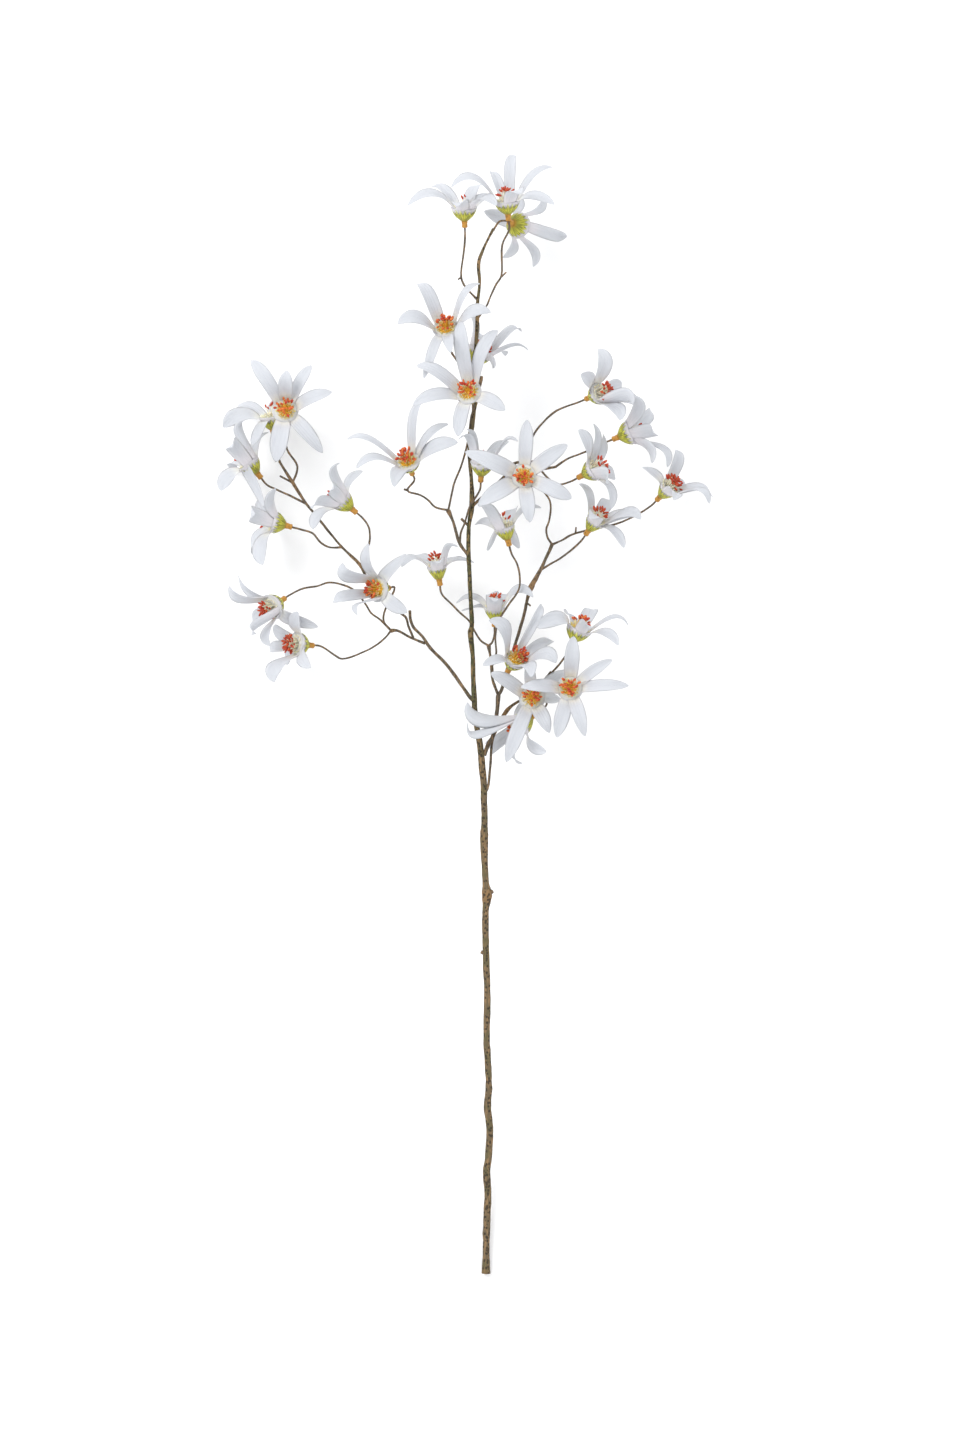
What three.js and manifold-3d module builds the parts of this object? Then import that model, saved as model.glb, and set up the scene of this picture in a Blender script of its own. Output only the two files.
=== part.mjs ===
// Clematis sprig: a cut woody stem that lies on a table and carries thirty six-petalled white blooms.
// Millimetres, +Z up. +Y runs along the stem to its flowering end and +X to the right, seen from above.

import * as THREE from 'three';
import { mergeVertices } from 'three/addons/utils/BufferGeometryUtils.js';
import Module from 'manifold-3d';

const wasm = await Module();
wasm.setup();

// Driving dimensions, in millimetres and degrees.

const PETAL_HALF_WIDTH = 6.4;
const PETAL_KEEL = 1.7;
const PETAL_ROOT_RADIUS = 6;
const PETAL_ROOT_DEPTH = 9.5;
const PETAL_RISE = { outward: 0.14, forward: 0.28 };
const PETAL_RECURVE = { inward: 0.42, forward: 0.37 };

const CUP_SIDES = 6;
const CUP_RIM_RADIUS = 12.4;
const CUP_RIM = 2.2;
const CUP_BASE_RADIUS = 6.8;
const CUP_DEPTH = 10.4;
const CUP_FOOT = 11.3;
const THROAT_DEPTH = 5.6;

const SOCKET_RADIUS = 2.5;
const SOCKET_FOOT = 22.5;
const SOCKET_TOP = 16.8;
const CALYX_LOBES = 7;
const CALYX_WAIST_RADIUS = 8;
const CALYX_WAIST = 13;
const CALYX_TIP_RADIUS = 10;
const CALYX_TIP = 8.6;
const CALYX_NOTCH_RADIUS = 9;
const CALYX_NOTCH = 10.4;

const STAMENS = 7;
const STAMEN_RADIUS = 1.1;
const STAMEN_TURN = 137.5;
const HEART_RADIUS = 4.4;

const TWIG_RADIUS = 0.85;
const TWIG_SIDES = 4;
const BRANCH_SIDES = 5;
const STEM_SIDES = 6;

// Lathes, bent bodies and joins.

const vector = (values) => new THREE.Vector3(values[0], values[1], values[2]);

function lathe(profile, sides) {
  return new THREE.LatheGeometry(profile.map(([r, h]) => new THREE.Vector2(r, h)), sides);
}

function solid(source) {
  const geometry = source.clone();
  geometry.deleteAttribute('normal');
  geometry.deleteAttribute('uv');
  const merged = mergeVertices(geometry, 1e-4);
  const index = merged.index.array;
  const kept = [];
  for (let i = 0; i < index.length; i += 3) {
    const [a, b, c] = [index[i], index[i + 1], index[i + 2]];
    if (a !== b && b !== c && c !== a) kept.push(a, b, c);
  }
  return new wasm.Manifold(new wasm.Mesh({
    numProp: 3,
    vertProperties: new Float32Array(merged.attributes.position.array),
    triVerts: new Uint32Array(kept),
  }));
}

const join = (bodies) => bodies.reduce((whole, body) => whole.add(body));

function reshape(geometry, place) {
  const position = geometry.attributes.position;
  const point = new THREE.Vector3();
  for (let i = 0; i < position.count; i++) {
    point.fromBufferAttribute(position, i);
    place(point);
    position.setXYZ(i, point.x, point.y, point.z);
  }
  return geometry;
}

// The blooms. cup is where the petals spring, face is the direction that the bloom looks in as
// [turn from +X, lift toward +Z], and flare is how wide the calyx and the cup open. Each tip is a
// petal's point measured from the cup, then how high the petal arches, how wide it is and how many
// degrees it twists, where these aren't 1, 1 and 0.

const BLOOMS = [
  { cup: [-2, 437, 90], face: [92, 12], flare: 1,
    tips: [[-48, -4, 6], [-29, 14, -34, 0.6, 0.8], [14, 16, -42, 0.5], [28, 4, -22, 0.8],
      [28, -5, 32, 0.7], [-5, -6, 46, 0.55, 1.1]] },
  { cup: [34, 442, 104], face: [95, 14], flare: 1,
    tips: [[7, 35, -24, 0.4, 0.8], [40, 24, -8, 0.4, 0.8], [41, -9, 14, 1, 0.85],
      [-14, 22, -36, 0.4, 0.7], [-47, 6, 4, 1.1], [12, -1, 42, 0.6, 1.15]] },
  { cup: [47, 417, 64], face: [-15, -60], flare: 1,
    tips: [[39, -8, -22, 1, 0.85], [10, -34, -20, 1, 0.7], [-16, -26, -22, 1, 0.75],
      [19, 28, -18, 1, 0.8], [-32, 14, -20], [-10, 32, -24]] },
  { cup: [-18, 333, 100], face: [100, 45], flare: 1,
    tips: [[-23, 34, -6], [30, 34, -2, 0.9, 0.7], [39, 9, 14], [-40, -1, 16],
      [-18, -47, 8, 1, 0.7], [5, -26, 30, 0.7, 0.8]] },
  { cup: [14, 314, 58], face: [55, -10], flare: 1,
    tips: [[33, 14, -22, 0.5, 0.8], [39, -3, 12, 0.6, 0.8], [19, -6, -34, 0.6],
      [-6, 14, -40, 0.5], [-12, 28, 8, 0.5], [10, -18, 24, 0.9]] },
  { cup: [1, 277, 112], face: [112, 60], flare: 1,
    tips: [[-5, 58, -4], [26, 50, -4, 1, 0.9], [32, -18, 8], [-8, -40, 6], [-46, -14, 4],
      [-43, 20, 0]] },
  { cup: [-51, 220, 98], face: [110, 46], flare: 1,
    tips: [[16, 49, -8, 1, 0.75], [36, 28, -4, 0.8, 0.8], [44, 12, 10, 0.6, 1.1, 30],
      [-50, 15, 0, 0.9, 0.6], [-42, -10, 16, 1, 0.8], [-10, -26, 28, 0.7]] },
  { cup: [14, 220, 92], face: [85, 20], flare: 0.9,
    tips: [[-21, 14, 24, 1.1, 0.9], [30, 13, 12, 0.9, 0.6], [-14, 24, -6, 0.4, 0.6],
      [22, 14, -30, 0.5], [8, 0, -44, 0.5], [20, -10, 12, 0.6]] },
  { cup: [49, 204, 120], face: [90, 85], flare: 1,
    tips: [[3, 47, -4], [37, 26, -2], [40, -20, 2], [5, -40, 4], [-39, -25, 4, 1, 1.15],
      [-50, 20, 4, 1, 1.15]] },
  { cup: [31, 166, 84], face: [105, 12], flare: 0.8,
    tips: [[-20, 11, 33, 0.5], [-24, -3, -20, 0.8, 0.8], [-13, -25, -28, 1.1, 0.7],
      [14, -23, -26, 1.4, 0.7], [33, 11, -8, 1, 0.8], [12, 12, -38, 0.5]] },
  { cup: [-26, 133, 60], face: [100, 10], flare: 0.75,
    tips: [[-29, -6, 10, 1, 0.7], [19, 11, 18, 0.5, 0.8], [22, 3, -30, 0.5, 0.8],
      [33, -2, -8, 1, 0.7], [-20, 4, -38, 0.5, 0.8], [3, -3, 36, 0.5, 1.1]] },
  { cup: [-79, 108, 88], face: [185, 52], flare: 1,
    tips: [[-4, 39, 8], [28, 30, -4], [29, -20, 4], [-13, -23, 26, 0.7, 0.7],
      [-34, -11, 14, 0.8, 0.8], [-26, 22, 18]] },
  { cup: [24, 98, 70], face: [90, 15], flare: 0.8,
    tips: [[-33, -2, -12, 0.8, 0.7], [-28, -8, -26, 0.7, 0.7], [33, 3, 8, 0.9, 0.7],
      [16, 6, -38, 0.5], [-3, 7, -44, 0.5, 0.9], [0, -1, 40, 0.5, 1.1]] },
  { cup: [44, 52, 88], face: [58, 40], flare: 0.9,
    tips: [[-25, 29, 20, 0.8, 1.05], [-30, -9, 24, 0.8, 0.7], [30, 12, -28, 0.8, 0.75],
      [11, -19, 36, 0.6], [32, -7, 18], [20, 43, -6, 0.9, 0.6]] },
  { cup: [98, 79, 78], face: [64, 10], flare: 1,
    tips: [[-38, -4, 18, 1.7, 1.15, 75], [40, -2, -8, 1, 0.65], [31, -19, 14, 1, 0.8],
      [10, 12, -40, 0.5], [6, -4, 40, 0.5], [-14, 10, -40, 0.5]] },
  { cup: [88, 25, 102], face: [90, 80], flare: 1,
    tips: [[3, 43, 2], [36, 23, 0, 1, 0.75], [50, 1, 0, 0.8, 0.8], [13, -42, 4], [-11, -43, -4],
      [-42, 0, 8]] },
  { cup: [56, 17, 84], face: [90, 80], flare: 1,
    tips: [[-35, 20, 2], [-22, -56, 6], [15, -31, 12], [-3, 28, 0, 1, 0.8],
      [25, -3, -24, 1.5, 0.8], [30, 22, -20]] },
  { cup: [42, -10, 69], face: [215, 5], flare: 0.9,
    tips: [[-41, 22, 12, 0.8, 1.1, 70], [-41, 5, 18], [26, -20, 20], [6, -30, -32],
      [10, 26, -38], [-20, -16, -40]] },
  { cup: [-154, 262, 72], face: [90, 75], flare: 1,
    tips: [[-29, 41, -4], [1, 32, 10, 0.8], [22, 37, -6, 1, 0.8], [40, 14, 2], [32, -38, 0],
      [-8, -46, 4, 1, 1.2]] },
  { cup: [-168, 261, 42], face: [100, 10], flare: 0.9,
    tips: [[-39, -15, 8, 1.1, 1.15, 70], [-28, 4, -30, 0.5], [-14, -30, 24, 0.8],
      [30, 8, -12], [10, 10, -34, 0.5], [18, -8, -34, 0.9]] },
  { cup: [-189, 220, 48], face: [130, 5], flare: 0.9,
    tips: [[0, 32, 16, 0.5], [20, 23, -26, 0.6, 0.9], [-9, 9, 38, 0.9, 1.1],
      [-20, -28, 4, 1, 1.1, 60], [-9, -10, -48], [17, -42, 16, 1.6]] },
  { cup: [-170, 167, 52], face: [165, 5], flare: 0.9,
    tips: [[8, 27, 26, 0.6], [-3, -38, 10, 1, 1.2, 60], [-13, -28, -24, 0.8],
      [-9, 5, 40, 0.9, 1.1], [-6, 20, -30, 0.5], [4, -6, -44, 0.6]] },
  { cup: [-110, 187, 80], face: [140, 10], flare: 0.85,
    tips: [[3, 28, 22, 0.6], [22, 22, -22, 0.8, 0.7], [-20, -11, 32, 0.5],
      [-20, -28, 4, 1, 1.15, 60], [-6, -8, -44, 0.5], [-2, 6, 40, 0.5, 0.9]] },
  { cup: [-169, 91, 60], face: [214, 38], flare: 1,
    tips: [[-33, 20, 4, 0.9], [-26, 30, -14, 0.9, 0.7], [-9, -21, 30, 0.5, 0.8],
      [3, -31, 14, 0.6, 0.8], [43, -15, -4, 0.8], [-14, -10, -42, 0.5]] },
  { cup: [-149, 62, 54], face: [175, 32], flare: 1,
    tips: [[-14, -33, 18, 0.6, 1.2], [17, -21, 30, 0.5], [6, 27, 13, 0.6, 0.8],
      [-19, -4, -20, 0.6, 0.8], [-16, 15, -34, 0.5], [-6, -16, -38, 0.5]] },
  { cup: [117, 276, 84], face: [22, 42], flare: 0.9,
    tips: [[-5, 36, 10, 0.8, 1.1], [-20, 14, 18, 0.6, 1, 30], [32, -10, -28],
      [24, -12, 24, 0.5, 1.15, 45], [13, -25, 22, 0.5, 1.1], [16, 8, -38, 0.5]] },
  { cup: [145, 244, 60], face: [22, 8], flare: 1,
    tips: [[-2, 28, 24, 0.5, 1.1], [12, 18, -36, 0.5], [26, -32, 6, 1.1, 1, 45],
      [13, -29, 20, 0.8], [9, -11, -40, 0.5], [14, -4, 36, 0.5]] },
  { cup: [113, 212, 88], face: [27, 22], flare: 0.9,
    tips: [[-18, 31, 14, 0.5], [-5, 37, -12, 0.5], [4, 28, -30, 0.5], [10, -36, 6, 1.2],
      [5, -15, 36, 0.6, 1.1], [14, -8, -38, 0.5]] },
  { cup: [113, 171, 80], face: [55, 25], flare: 0.75,
    tips: [[-17, 27, -14, 0.7, 0.8], [35, -4, 10, 0.7, 1, 45], [21, -28, 6, 1, 0.8],
      [-8, -4, 37, 0.7, 1.1], [8, 14, -40, 0.5], [32, -2, -18, 0.6]] },
  { cup: [176, 198, 46], face: [45, 30], flare: 0.75,
    tips: [[3, 30, -22, 0.9, 0.8], [-26, 15, -6, 0.8, 0.8], [34, -11, -8],
      [31, -17, 14, 1.1, 0.8], [0, -14, 35, 0.6, 1.1], [14, -4, -46]] },
];

// The wood: stations of [x, y, z, radius] along each limb's axis.

const STEM = [
  [16.7, -477, 4, 3.7], [17, -459.5, 5, 2.9], [17.5, -431, 8, 3.2], [18.4, -408, 11, 2.9],
  [17.4, -390, 13, 3.2], [19, -375, 15, 2.9], [20, -351, 18, 3.1], [17.9, -333, 20, 3.3],
  [19.3, -318, 22, 2.9], [18.7, -300, 24, 2.9], [17.3, -274, 27, 2.9], [17.9, -241, 31, 2.9],
  [17, -209, 35, 2.9], [16.4, -182, 38, 2.9], [16.6, -164, 40, 2.9], [17.6, -153, 42, 4.3],
  [16.6, -142, 43, 2.9], [15.8, -125, 45, 2.8], [15.2, -104, 47, 3.6], [15.6, -90, 48, 2.7],
  [15.2, -73, 51, 2.8], [14.8, -56, 53, 2.9], [13.4, -43, 55, 3.1], [12.2, -29, 58, 2.8],
  [10.5, -17, 60, 2.6], [7.8, -2, 62, 2.2], [6.8, 14, 64, 2.3], [6, 34, 66, 1.9],
  [5.4, 52, 68, 1.9], [3.8, 71, 70, 2.5], [4.7, 77, 70, 1.9], [3.8, 98, 72, 1.8],
  [2.9, 119, 74, 1.8], [2.2, 133, 76, 1.9], [2.2, 161, 78, 1.7], [4.8, 179, 78, 2.4],
  [4.3, 202, 79, 1.6], [2.6, 227, 79, 1.6], [4.3, 239, 80, 1.6], [6.4, 258, 80, 1.8],
  [7, 273, 80, 3.4], [4.4, 291, 80, 1.6], [7.9, 313, 81, 1.5], [9.4, 335, 81, 1.7],
  [9.6, 351, 82, 1.5], [11.4, 368, 82, 1.3], [10.7, 386, 83, 1.6], [17.9, 404, 84, 1],
  [23, 414, 85, 1.3],
];

const LIMBS = [
  // Right arm, fork, left and right upper arms.
  [[15.3, -33, 57, 1.9], [19.6, -22, 60, 1.8], [22, -18, 61, 1.7], [24.7, -6, 63, 1.6],
    [26.4, 6, 65, 1.6], [27.2, 18, 66, 2.1]],
  [[27.2, 18, 66, 1.3], [23.8, 27, 67, 1.2], [22.5, 31, 68, 1.2], [21.6, 43, 70, 1.5],
    [20.2, 53, 71, 1.1], [19, 60, 71, 1.7]],
  [[27.2, 18, 66, 1.6], [29.8, 22, 66, 1.4], [34, 38, 67, 1.3], [42.2, 63, 69, 1.3],
    [49.8, 89, 71, 1.3], [51.9, 99, 72, 1.4], [55.3, 110, 73, 2.2], [62.9, 124, 74, 1.6],
    [68, 135, 76, 1.2], [73, 146, 78, 1.6]],
  // Thin branch beside the arm, and its way on behind the two front blooms.
  [[15, -66, 52, 1], [17.9, -62, 54, 1.2], [20.4, -43, 56, 1.1], [21.3, -28, 57, 1.1],
    [23, -18, 57, 1.1], [29, -5, 57, 1.5], [34, 4, 56, 1.9], [40, 10, 54, 1.2], [54, 18, 50, 1.2],
    [67, 31, 54, 1.6], [72, 38, 59, 1]],
  // Left branch with its cut top, its fork to the joint, and the way up behind the bloom.
  [[5.4, 14, 63, 1.6], [3.4, 16, 64, 1.6], [-5, 28, 65, 1.4], [-13.6, 40, 66, 1.4], [-20.4, 48, 66, 1.3],
    [-30.6, 58, 66, 1.4], [-37.4, 68, 66, 1.2], [-45, 76, 66, 1.2], [-47.6, 83, 66, 1.2],
    [-48.1, 90, 66, 1.3]],
  [[-35, 62, 66, 1.2], [-47.3, 67, 64, 1], [-58.7, 73, 62.5, 1.1], [-64, 73, 62, 1.8]],
  [[-45, 67, 64, 1], [-49.3, 77, 62, 1], [-51.3, 84, 60, 1.1], [-56, 88, 58, 1], [-72, 104, 57, 1],
    [-85, 119, 58, 1.1], [-90.4, 129, 57, 1.5], [-105.8, 144, 55, 1], [-121.6, 163, 52, 1.1],
    [-128.8, 172, 50, 1], [-136.2, 181, 48, 1.1], [-147.9, 199, 45, 1.5], [-159.2, 217, 42, 1]],
  // Left upper sub-branch up to its joint.
  [[2, 136, 76, 1.2], [0.8, 138, 76, 1.3], [-5.6, 147, 77, 1.4], [-11, 165, 78, 1.2],
    [-15.3, 175, 79, 1.9]],
  // Right upper branch.
  [[5, 178, 78, 1.3], [6.8, 180, 78, 1.3], [14.5, 187, 76, 1.3], [27.2, 198, 74, 1.8],
    [32.3, 204, 73, 1.2], [40.8, 215, 72, 1.2], [52, 216, 71, 1.1], [62, 211, 70, 1.5],
    [75.7, 212, 68, 1]],
  // Cut stubs and spurs.
  [[17, -203, 36, 1.6], [12.6, -201, 37, 1.5]],
  [[17, -152, 42, 2.2], [22.6, -149, 43, 1.9]],
  [[3, 161, 78, 1.2], [-4.2, 168, 79, 1.1]],
  [[7, 273, 80, 1.6], [12, 283, 79, 1.6], [13, 289, 78, 1.4]],
  [[-4.3, 373, 84, 0.8], [-7, 371, 84.5, 0.7]],
  [[29.8, 373, 89, 0.8], [34, 377, 90, 0.7]],
  [[-49, 192, 75, 0.9], [-53, 193, 76, 0.9]],
  [[51, 97, 72, 0.8], [54.8, 94, 72.5, 0.8]],
  [[93, 156, 62, 0.8], [93.5, 161, 62, 0.7]],
  [[-147.9, 199, 45, 0.9], [-159, 205, 44, 0.8]],
  [[52, 216, 71, 0.9], [58.5, 217, 73, 1.1]],
];

// Each twig: where it leaves the wood and the stations on its way to the socket of its bloom.

const TWIGS = [
  [[9.6, 354, 82], [3.4, 360, 83], [-1, 365, 83.5], [-4.3, 373, 84], [-1.7, 397, 84]],
  [[9.6, 338, 81.5], [17, 348, 84], [20.4, 356, 86], [25.5, 367, 88], [29.8, 374, 89], [30.6, 400, 90]],
  [[23, 413, 85], [28, 420, 88]],
  [[7, 273, 80], [2, 286, 80], [-5, 298, 79]],
  [[7, 273, 79], [5, 281, 70]],
  [[-15.3, 175, 79], [-12.8, 187, 82], [-10.2, 198, 84], [-4.5, 212, 82], [1, 232, 79], [4, 253, 81]],
  [[-15.3, 175, 79], [-26.5, 178, 77], [-32.6, 184, 76], [-38.7, 188, 75.5], [-50, 192, 75]],
  [[-5.6, 147, 77], [-4.5, 156, 79], [-1, 165, 82], [3, 178, 83]],
  [[73, 146, 78], [69, 152, 84], [68, 159, 86], [70.6, 167, 87], [71, 183, 87], [60, 196, 86]],
  [[21.6, 43, 70], [24.2, 46, 74], [25.5, 55, 77], [24.7, 68, 82], [27, 80, 85], [31.5, 88, 86],
    [38.3, 98, 86], [42, 103, 84], [45, 109, 81], [45.5, 119, 79], [43, 130, 77]],
  [[19, 60, 71], [12.8, 64, 67], [6.8, 73, 61], [2.6, 81, 57], [-5, 88, 54], [-11.9, 95, 53]],
  [[-64, 73, 62], [-70, 80, 60], [-70, 88, 57]],
  [[19, 60, 71], [22, 63, 66]],
  [[29.8, 22, 66], [31, 27, 64]],
  [[67, 31, 55], [79, 44, 62]],
  [[67, 31, 55], [80, 22, 61]],
  [[54, 18, 50], [56, 13, 51]],
  [[54, 18, 50], [68, 13, 55]],
  [[-147.9, 199, 45], [-144, 213, 43], [-153, 228, 39], [-154, 244, 37]],
  [[-159.2, 217, 42], [-161, 223, 38]],
  [[-136.2, 181, 48], [-150, 188, 47], [-161, 193, 46]],
  [[-105.8, 144, 55], [-116, 144, 54], [-124, 148, 53], [-131, 156, 51]],
  [[-88, 125, 57], [-87.6, 134, 60], [-82.7, 147, 66], [-82, 154, 70], [-83, 161, 73]],
  [[-64, 73, 62], [-73, 82, 62], [-81, 88, 61], [-85.5, 95, 60], [-95, 107, 58], [-105, 112, 57],
    [-117, 114, 55], [-127, 111, 53], [-139, 109, 49]],
  [[-64, 73, 62], [-68, 68, 60], [-74.8, 62, 57], [-85, 56, 53], [-106, 49, 45], [-112, 52, 42]],
  [[52, 216, 71], [56.6, 238, 72], [67.2, 252, 72], [77, 260, 71]],
  [[75.7, 212, 68], [85.9, 219, 66], [96, 223, 63], [108, 228, 59]],
  [[62, 211, 70], [70, 202, 73], [78, 197, 78]],
  [[62.9, 124, 74], [70.6, 129, 73], [81, 135, 71]],
  [[73, 146, 78], [82, 150, 72], [88.4, 154, 65], [101, 158, 60], [115.6, 161, 57], [128, 164, 53],
    [140, 169, 46]],
];

// A limb is a closed lathe bent along a smooth curve, with its own radius at each station.

function limb(stations, sides, stepsPerSpan = 1) {
  const curve = new THREE.CatmullRomCurve3(stations.map(vector), false, 'centripetal');
  const spans = stations.length - 1;
  const steps = spans * stepsPerSpan;
  const profile = [[0, 0]];
  for (let i = 0; i <= steps; i++) profile.push([1, i / steps]);
  profile.push([0, 1]);
  const start = curve.getTangent(0);
  const aside = new THREE.Vector3(start.y, -start.x, 0.01);
  const frames = [];
  for (let i = 0; i <= steps; i++) {
    const along = curve.getTangent(i / steps);
    aside.addScaledVector(along, -aside.dot(along)).normalize();
    frames.push({ centre: curve.getPoint(i / steps), across: aside.clone(), up: aside.clone().cross(along) });
  }
  return solid(reshape(lathe(profile, sides), (point) => {
    const step = Math.round(point.y * steps);
    const at = Math.min(step / stepsPerSpan, spans - 1e-6);
    const span = Math.floor(at);
    const radius = THREE.MathUtils.lerp(stations[span][3], stations[span + 1][3], at - span);
    const { centre, across, up } = frames[step];
    const [x, z] = [point.x * radius, point.z * radius];
    point.copy(centre).addScaledVector(across, x).addScaledVector(up, z);
  }));
}

// A bloom's own frame: its forward direction, and the turn that stands a lathe along it at the cup.

function stance({ cup, face, flare }) {
  const [turn, lift] = face.map(THREE.MathUtils.degToRad);
  const forward = new THREE.Vector3(
    Math.cos(lift) * Math.cos(turn), Math.cos(lift) * Math.sin(turn), Math.sin(lift));
  const turned = new THREE.Quaternion().setFromUnitVectors(new THREE.Vector3(0, 1, 0), forward);
  return { centre: vector(cup), forward, turned, flare };
}

function stand(geometry, { centre, turned }) {
  return solid(geometry.applyQuaternion(turned).translate(centre.x, centre.y, centre.z));
}

// The green calyx grows out of an amber socket. Its rim has a pointed tip over each facet's edge
// and a notch beside it: every second vertex of the lower rings is folded onto its neighbour.

function calyx(pose) {
  const { flare } = pose;
  const profile = [
    [0, -SOCKET_FOOT], [SOCKET_RADIUS, -SOCKET_FOOT], [SOCKET_RADIUS, -SOCKET_TOP],
    [CALYX_WAIST_RADIUS * flare, -CALYX_WAIST], [CALYX_TIP_RADIUS * flare, -CALYX_TIP],
    [CUP_BASE_RADIUS * flare + 0.45, -CUP_DEPTH - 0.5], [0, -CUP_FOOT - 0.6],
  ];
  const step = Math.PI / CALYX_LOBES;
  return stand(reshape(lathe(profile, 2 * CALYX_LOBES), (point) => {
    const radius = Math.hypot(point.x, point.z);
    if (radius < 0.01) return;
    const place = Math.round(Math.atan2(point.x, point.z) / step);
    const odd = Math.abs(place % 2) === 1;
    const rim = Math.abs(point.y + CALYX_TIP) < 0.01;
    const angle = (odd && !rim ? place - 1 : place) * step;
    const reach = odd && rim ? CALYX_NOTCH_RADIUS * flare : radius;
    point.set(reach * Math.sin(angle), odd && rim ? -CALYX_NOTCH : point.y, reach * Math.cos(angle));
  }), pose);
}

// The white cup is a short funnel. Each petal is a three-sided spindle, flattened and bent along its
// arc: two sides meet in a keel underneath, and the third is the blade's face. It rises from the
// cup's wall, bows forward and curls back to its point.

function cup(pose) {
  const base = CUP_BASE_RADIUS * pose.flare;
  const rim = CUP_RIM_RADIUS * pose.flare;
  const profile = [[0, -CUP_FOOT], [base, -CUP_DEPTH], [rim, -CUP_RIM], [0, -THROAT_DEPTH]];
  return stand(lathe(profile, CUP_SIDES), pose);
}

const PETAL_PROFILE = [[0, 0], [0.45, 0.15], [1, 0.55], [0.85, 0.82], [0, 1]];

function petal({ centre, forward, flare }, [dx, dy, dz, arch = 1, width = 1, twist = 0]) {
  const reach = new THREE.Vector3(dx, dy, dz);
  const radial = reach.clone().addScaledVector(forward, -reach.dot(forward)).normalize();
  const root = centre.clone().addScaledVector(radial, PETAL_ROOT_RADIUS * flare);
  root.addScaledVector(forward, -PETAL_ROOT_DEPTH);
  const point = centre.clone().add(reach);
  const length = root.distanceTo(point);
  const rise = root.clone().addScaledVector(radial, PETAL_RISE.outward * length);
  rise.addScaledVector(forward, PETAL_RISE.forward * arch * length);
  const curl = point.clone().addScaledVector(radial, -PETAL_RECURVE.inward * length);
  curl.addScaledVector(forward, PETAL_RECURVE.forward * arch * length);
  const arc = new THREE.CubicBezierCurve3(root, rise, curl, point);
  return solid(reshape(lathe(PETAL_PROFILE, 3), (vertex) => {
    const along = arc.getTangent(vertex.y);
    const across = forward.clone().cross(radial);
    across.applyAxisAngle(along, THREE.MathUtils.degToRad(twist) * vertex.y);
    const under = across.clone().cross(along);
    const deep = Math.max(vertex.z, 0) * PETAL_KEEL;
    const wide = vertex.x * width * PETAL_HALF_WIDTH / Math.sin(Math.PI / 3);
    vertex.copy(arc.getPoint(vertex.y)).addScaledVector(across, wide).addScaledVector(under, deep);
  }));
}

// Stamens fan out of a small heart in the throat, each a slim three-sided club.

function stamens(pose) {
  const heart = [[0, -THROAT_DEPTH + 0.4], [HEART_RADIUS, -3.4], [0, -0.4]];
  const bodies = [stand(lathe(heart, 6), pose)];
  for (let i = 0; i < STAMENS; i++) {
    const turn = THREE.MathUtils.degToRad(i * STAMEN_TURN);
    const ring = Math.sqrt((i + 0.6) / STAMENS);
    const lean = 0.55 * ring;
    const length = 13 - 1.5 * ring;
    const club = lathe([[0, 0], [STAMEN_RADIUS, 0.82 * length], [0, length]], 3);
    club.rotateX(lean).translate(0, -3.6, 2.4 * ring).rotateY(turn);
    bodies.push(stand(club, pose));
  }
  return join(bodies);
}

// The sprig.

const sprig = new THREE.Group();
const MATERIALS = {
  wood: { color: 0x7d6c4a, roughness: 0.8, metalness: 0 },
  petal: { color: 0xeceef5, roughness: 0.6, metalness: 0 },
  stamen: { color: 0xd98a1e, roughness: 0.55, metalness: 0 },
};

function show(name, body, look) {
  const { vertProperties, triVerts } = body.getMesh();
  const geometry = new THREE.BufferGeometry();
  geometry.setAttribute('position', new THREE.BufferAttribute(vertProperties, 3));
  geometry.setIndex(new THREE.BufferAttribute(triVerts, 1));
  geometry.computeVertexNormals();
  const mesh = new THREE.Mesh(geometry, new THREE.MeshStandardMaterial(MATERIALS[look]));
  mesh.name = name;
  sprig.add(mesh);
}

const poses = BLOOMS.map(stance);

const twigs = TWIGS.map((stations, i) => {
  const { centre, forward } = poses[i];
  const before = centre.clone().addScaledVector(forward, -SOCKET_FOOT - 7);
  const inside = centre.clone().addScaledVector(forward, -SOCKET_FOOT + 2);
  const path = [...stations, before.toArray(), inside.toArray()];
  return limb(path.map(([x, y, z]) => [x, y, z, TWIG_RADIUS]), TWIG_SIDES);
});

const wood = join([
  limb(STEM, STEM_SIDES),
  ...LIMBS.map((stations) => limb(stations, BRANCH_SIDES)),
  ...twigs,
  ...poses.map(calyx),
]);
show('woody_stem', wood, 'wood');

const corollas = BLOOMS.map(({ tips }, i) => (
  join([cup(poses[i]), ...tips.map((tip) => petal(poses[i], tip))])));

// Two neighbours low on the left lie against each other, and their petals are one body.

const PAIRED = 23;
BLOOMS.forEach((bloom, i) => {
  const label = String(i + 1).padStart(2, '0');
  if (i === PAIRED) show('petals_24_25', corollas[i].add(corollas[i + 1]), 'petal');
  else if (i !== PAIRED + 1) show(`petals_${label}`, corollas[i], 'petal');
  show(`stamens_${label}`, stamens(poses[i]), 'stamen');
});

// The origin is on the table, in the middle of the ground that the sprig covers.

const bounds = new THREE.Box3().setFromObject(sprig);
const middle = bounds.getCenter(new THREE.Vector3());
sprig.children.forEach((mesh) => mesh.position.set(-middle.x, -middle.y, -bounds.min.z));

export default sprig;
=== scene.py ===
"""A cut clematis sprig laid on a pale table: a woody stem with forked twigs, green calyces in amber
sockets, starry white blooms of woven cloth and bunches of golden stamens with red heads."""

import math
import random

import bpy
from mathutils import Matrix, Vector, noise


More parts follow.
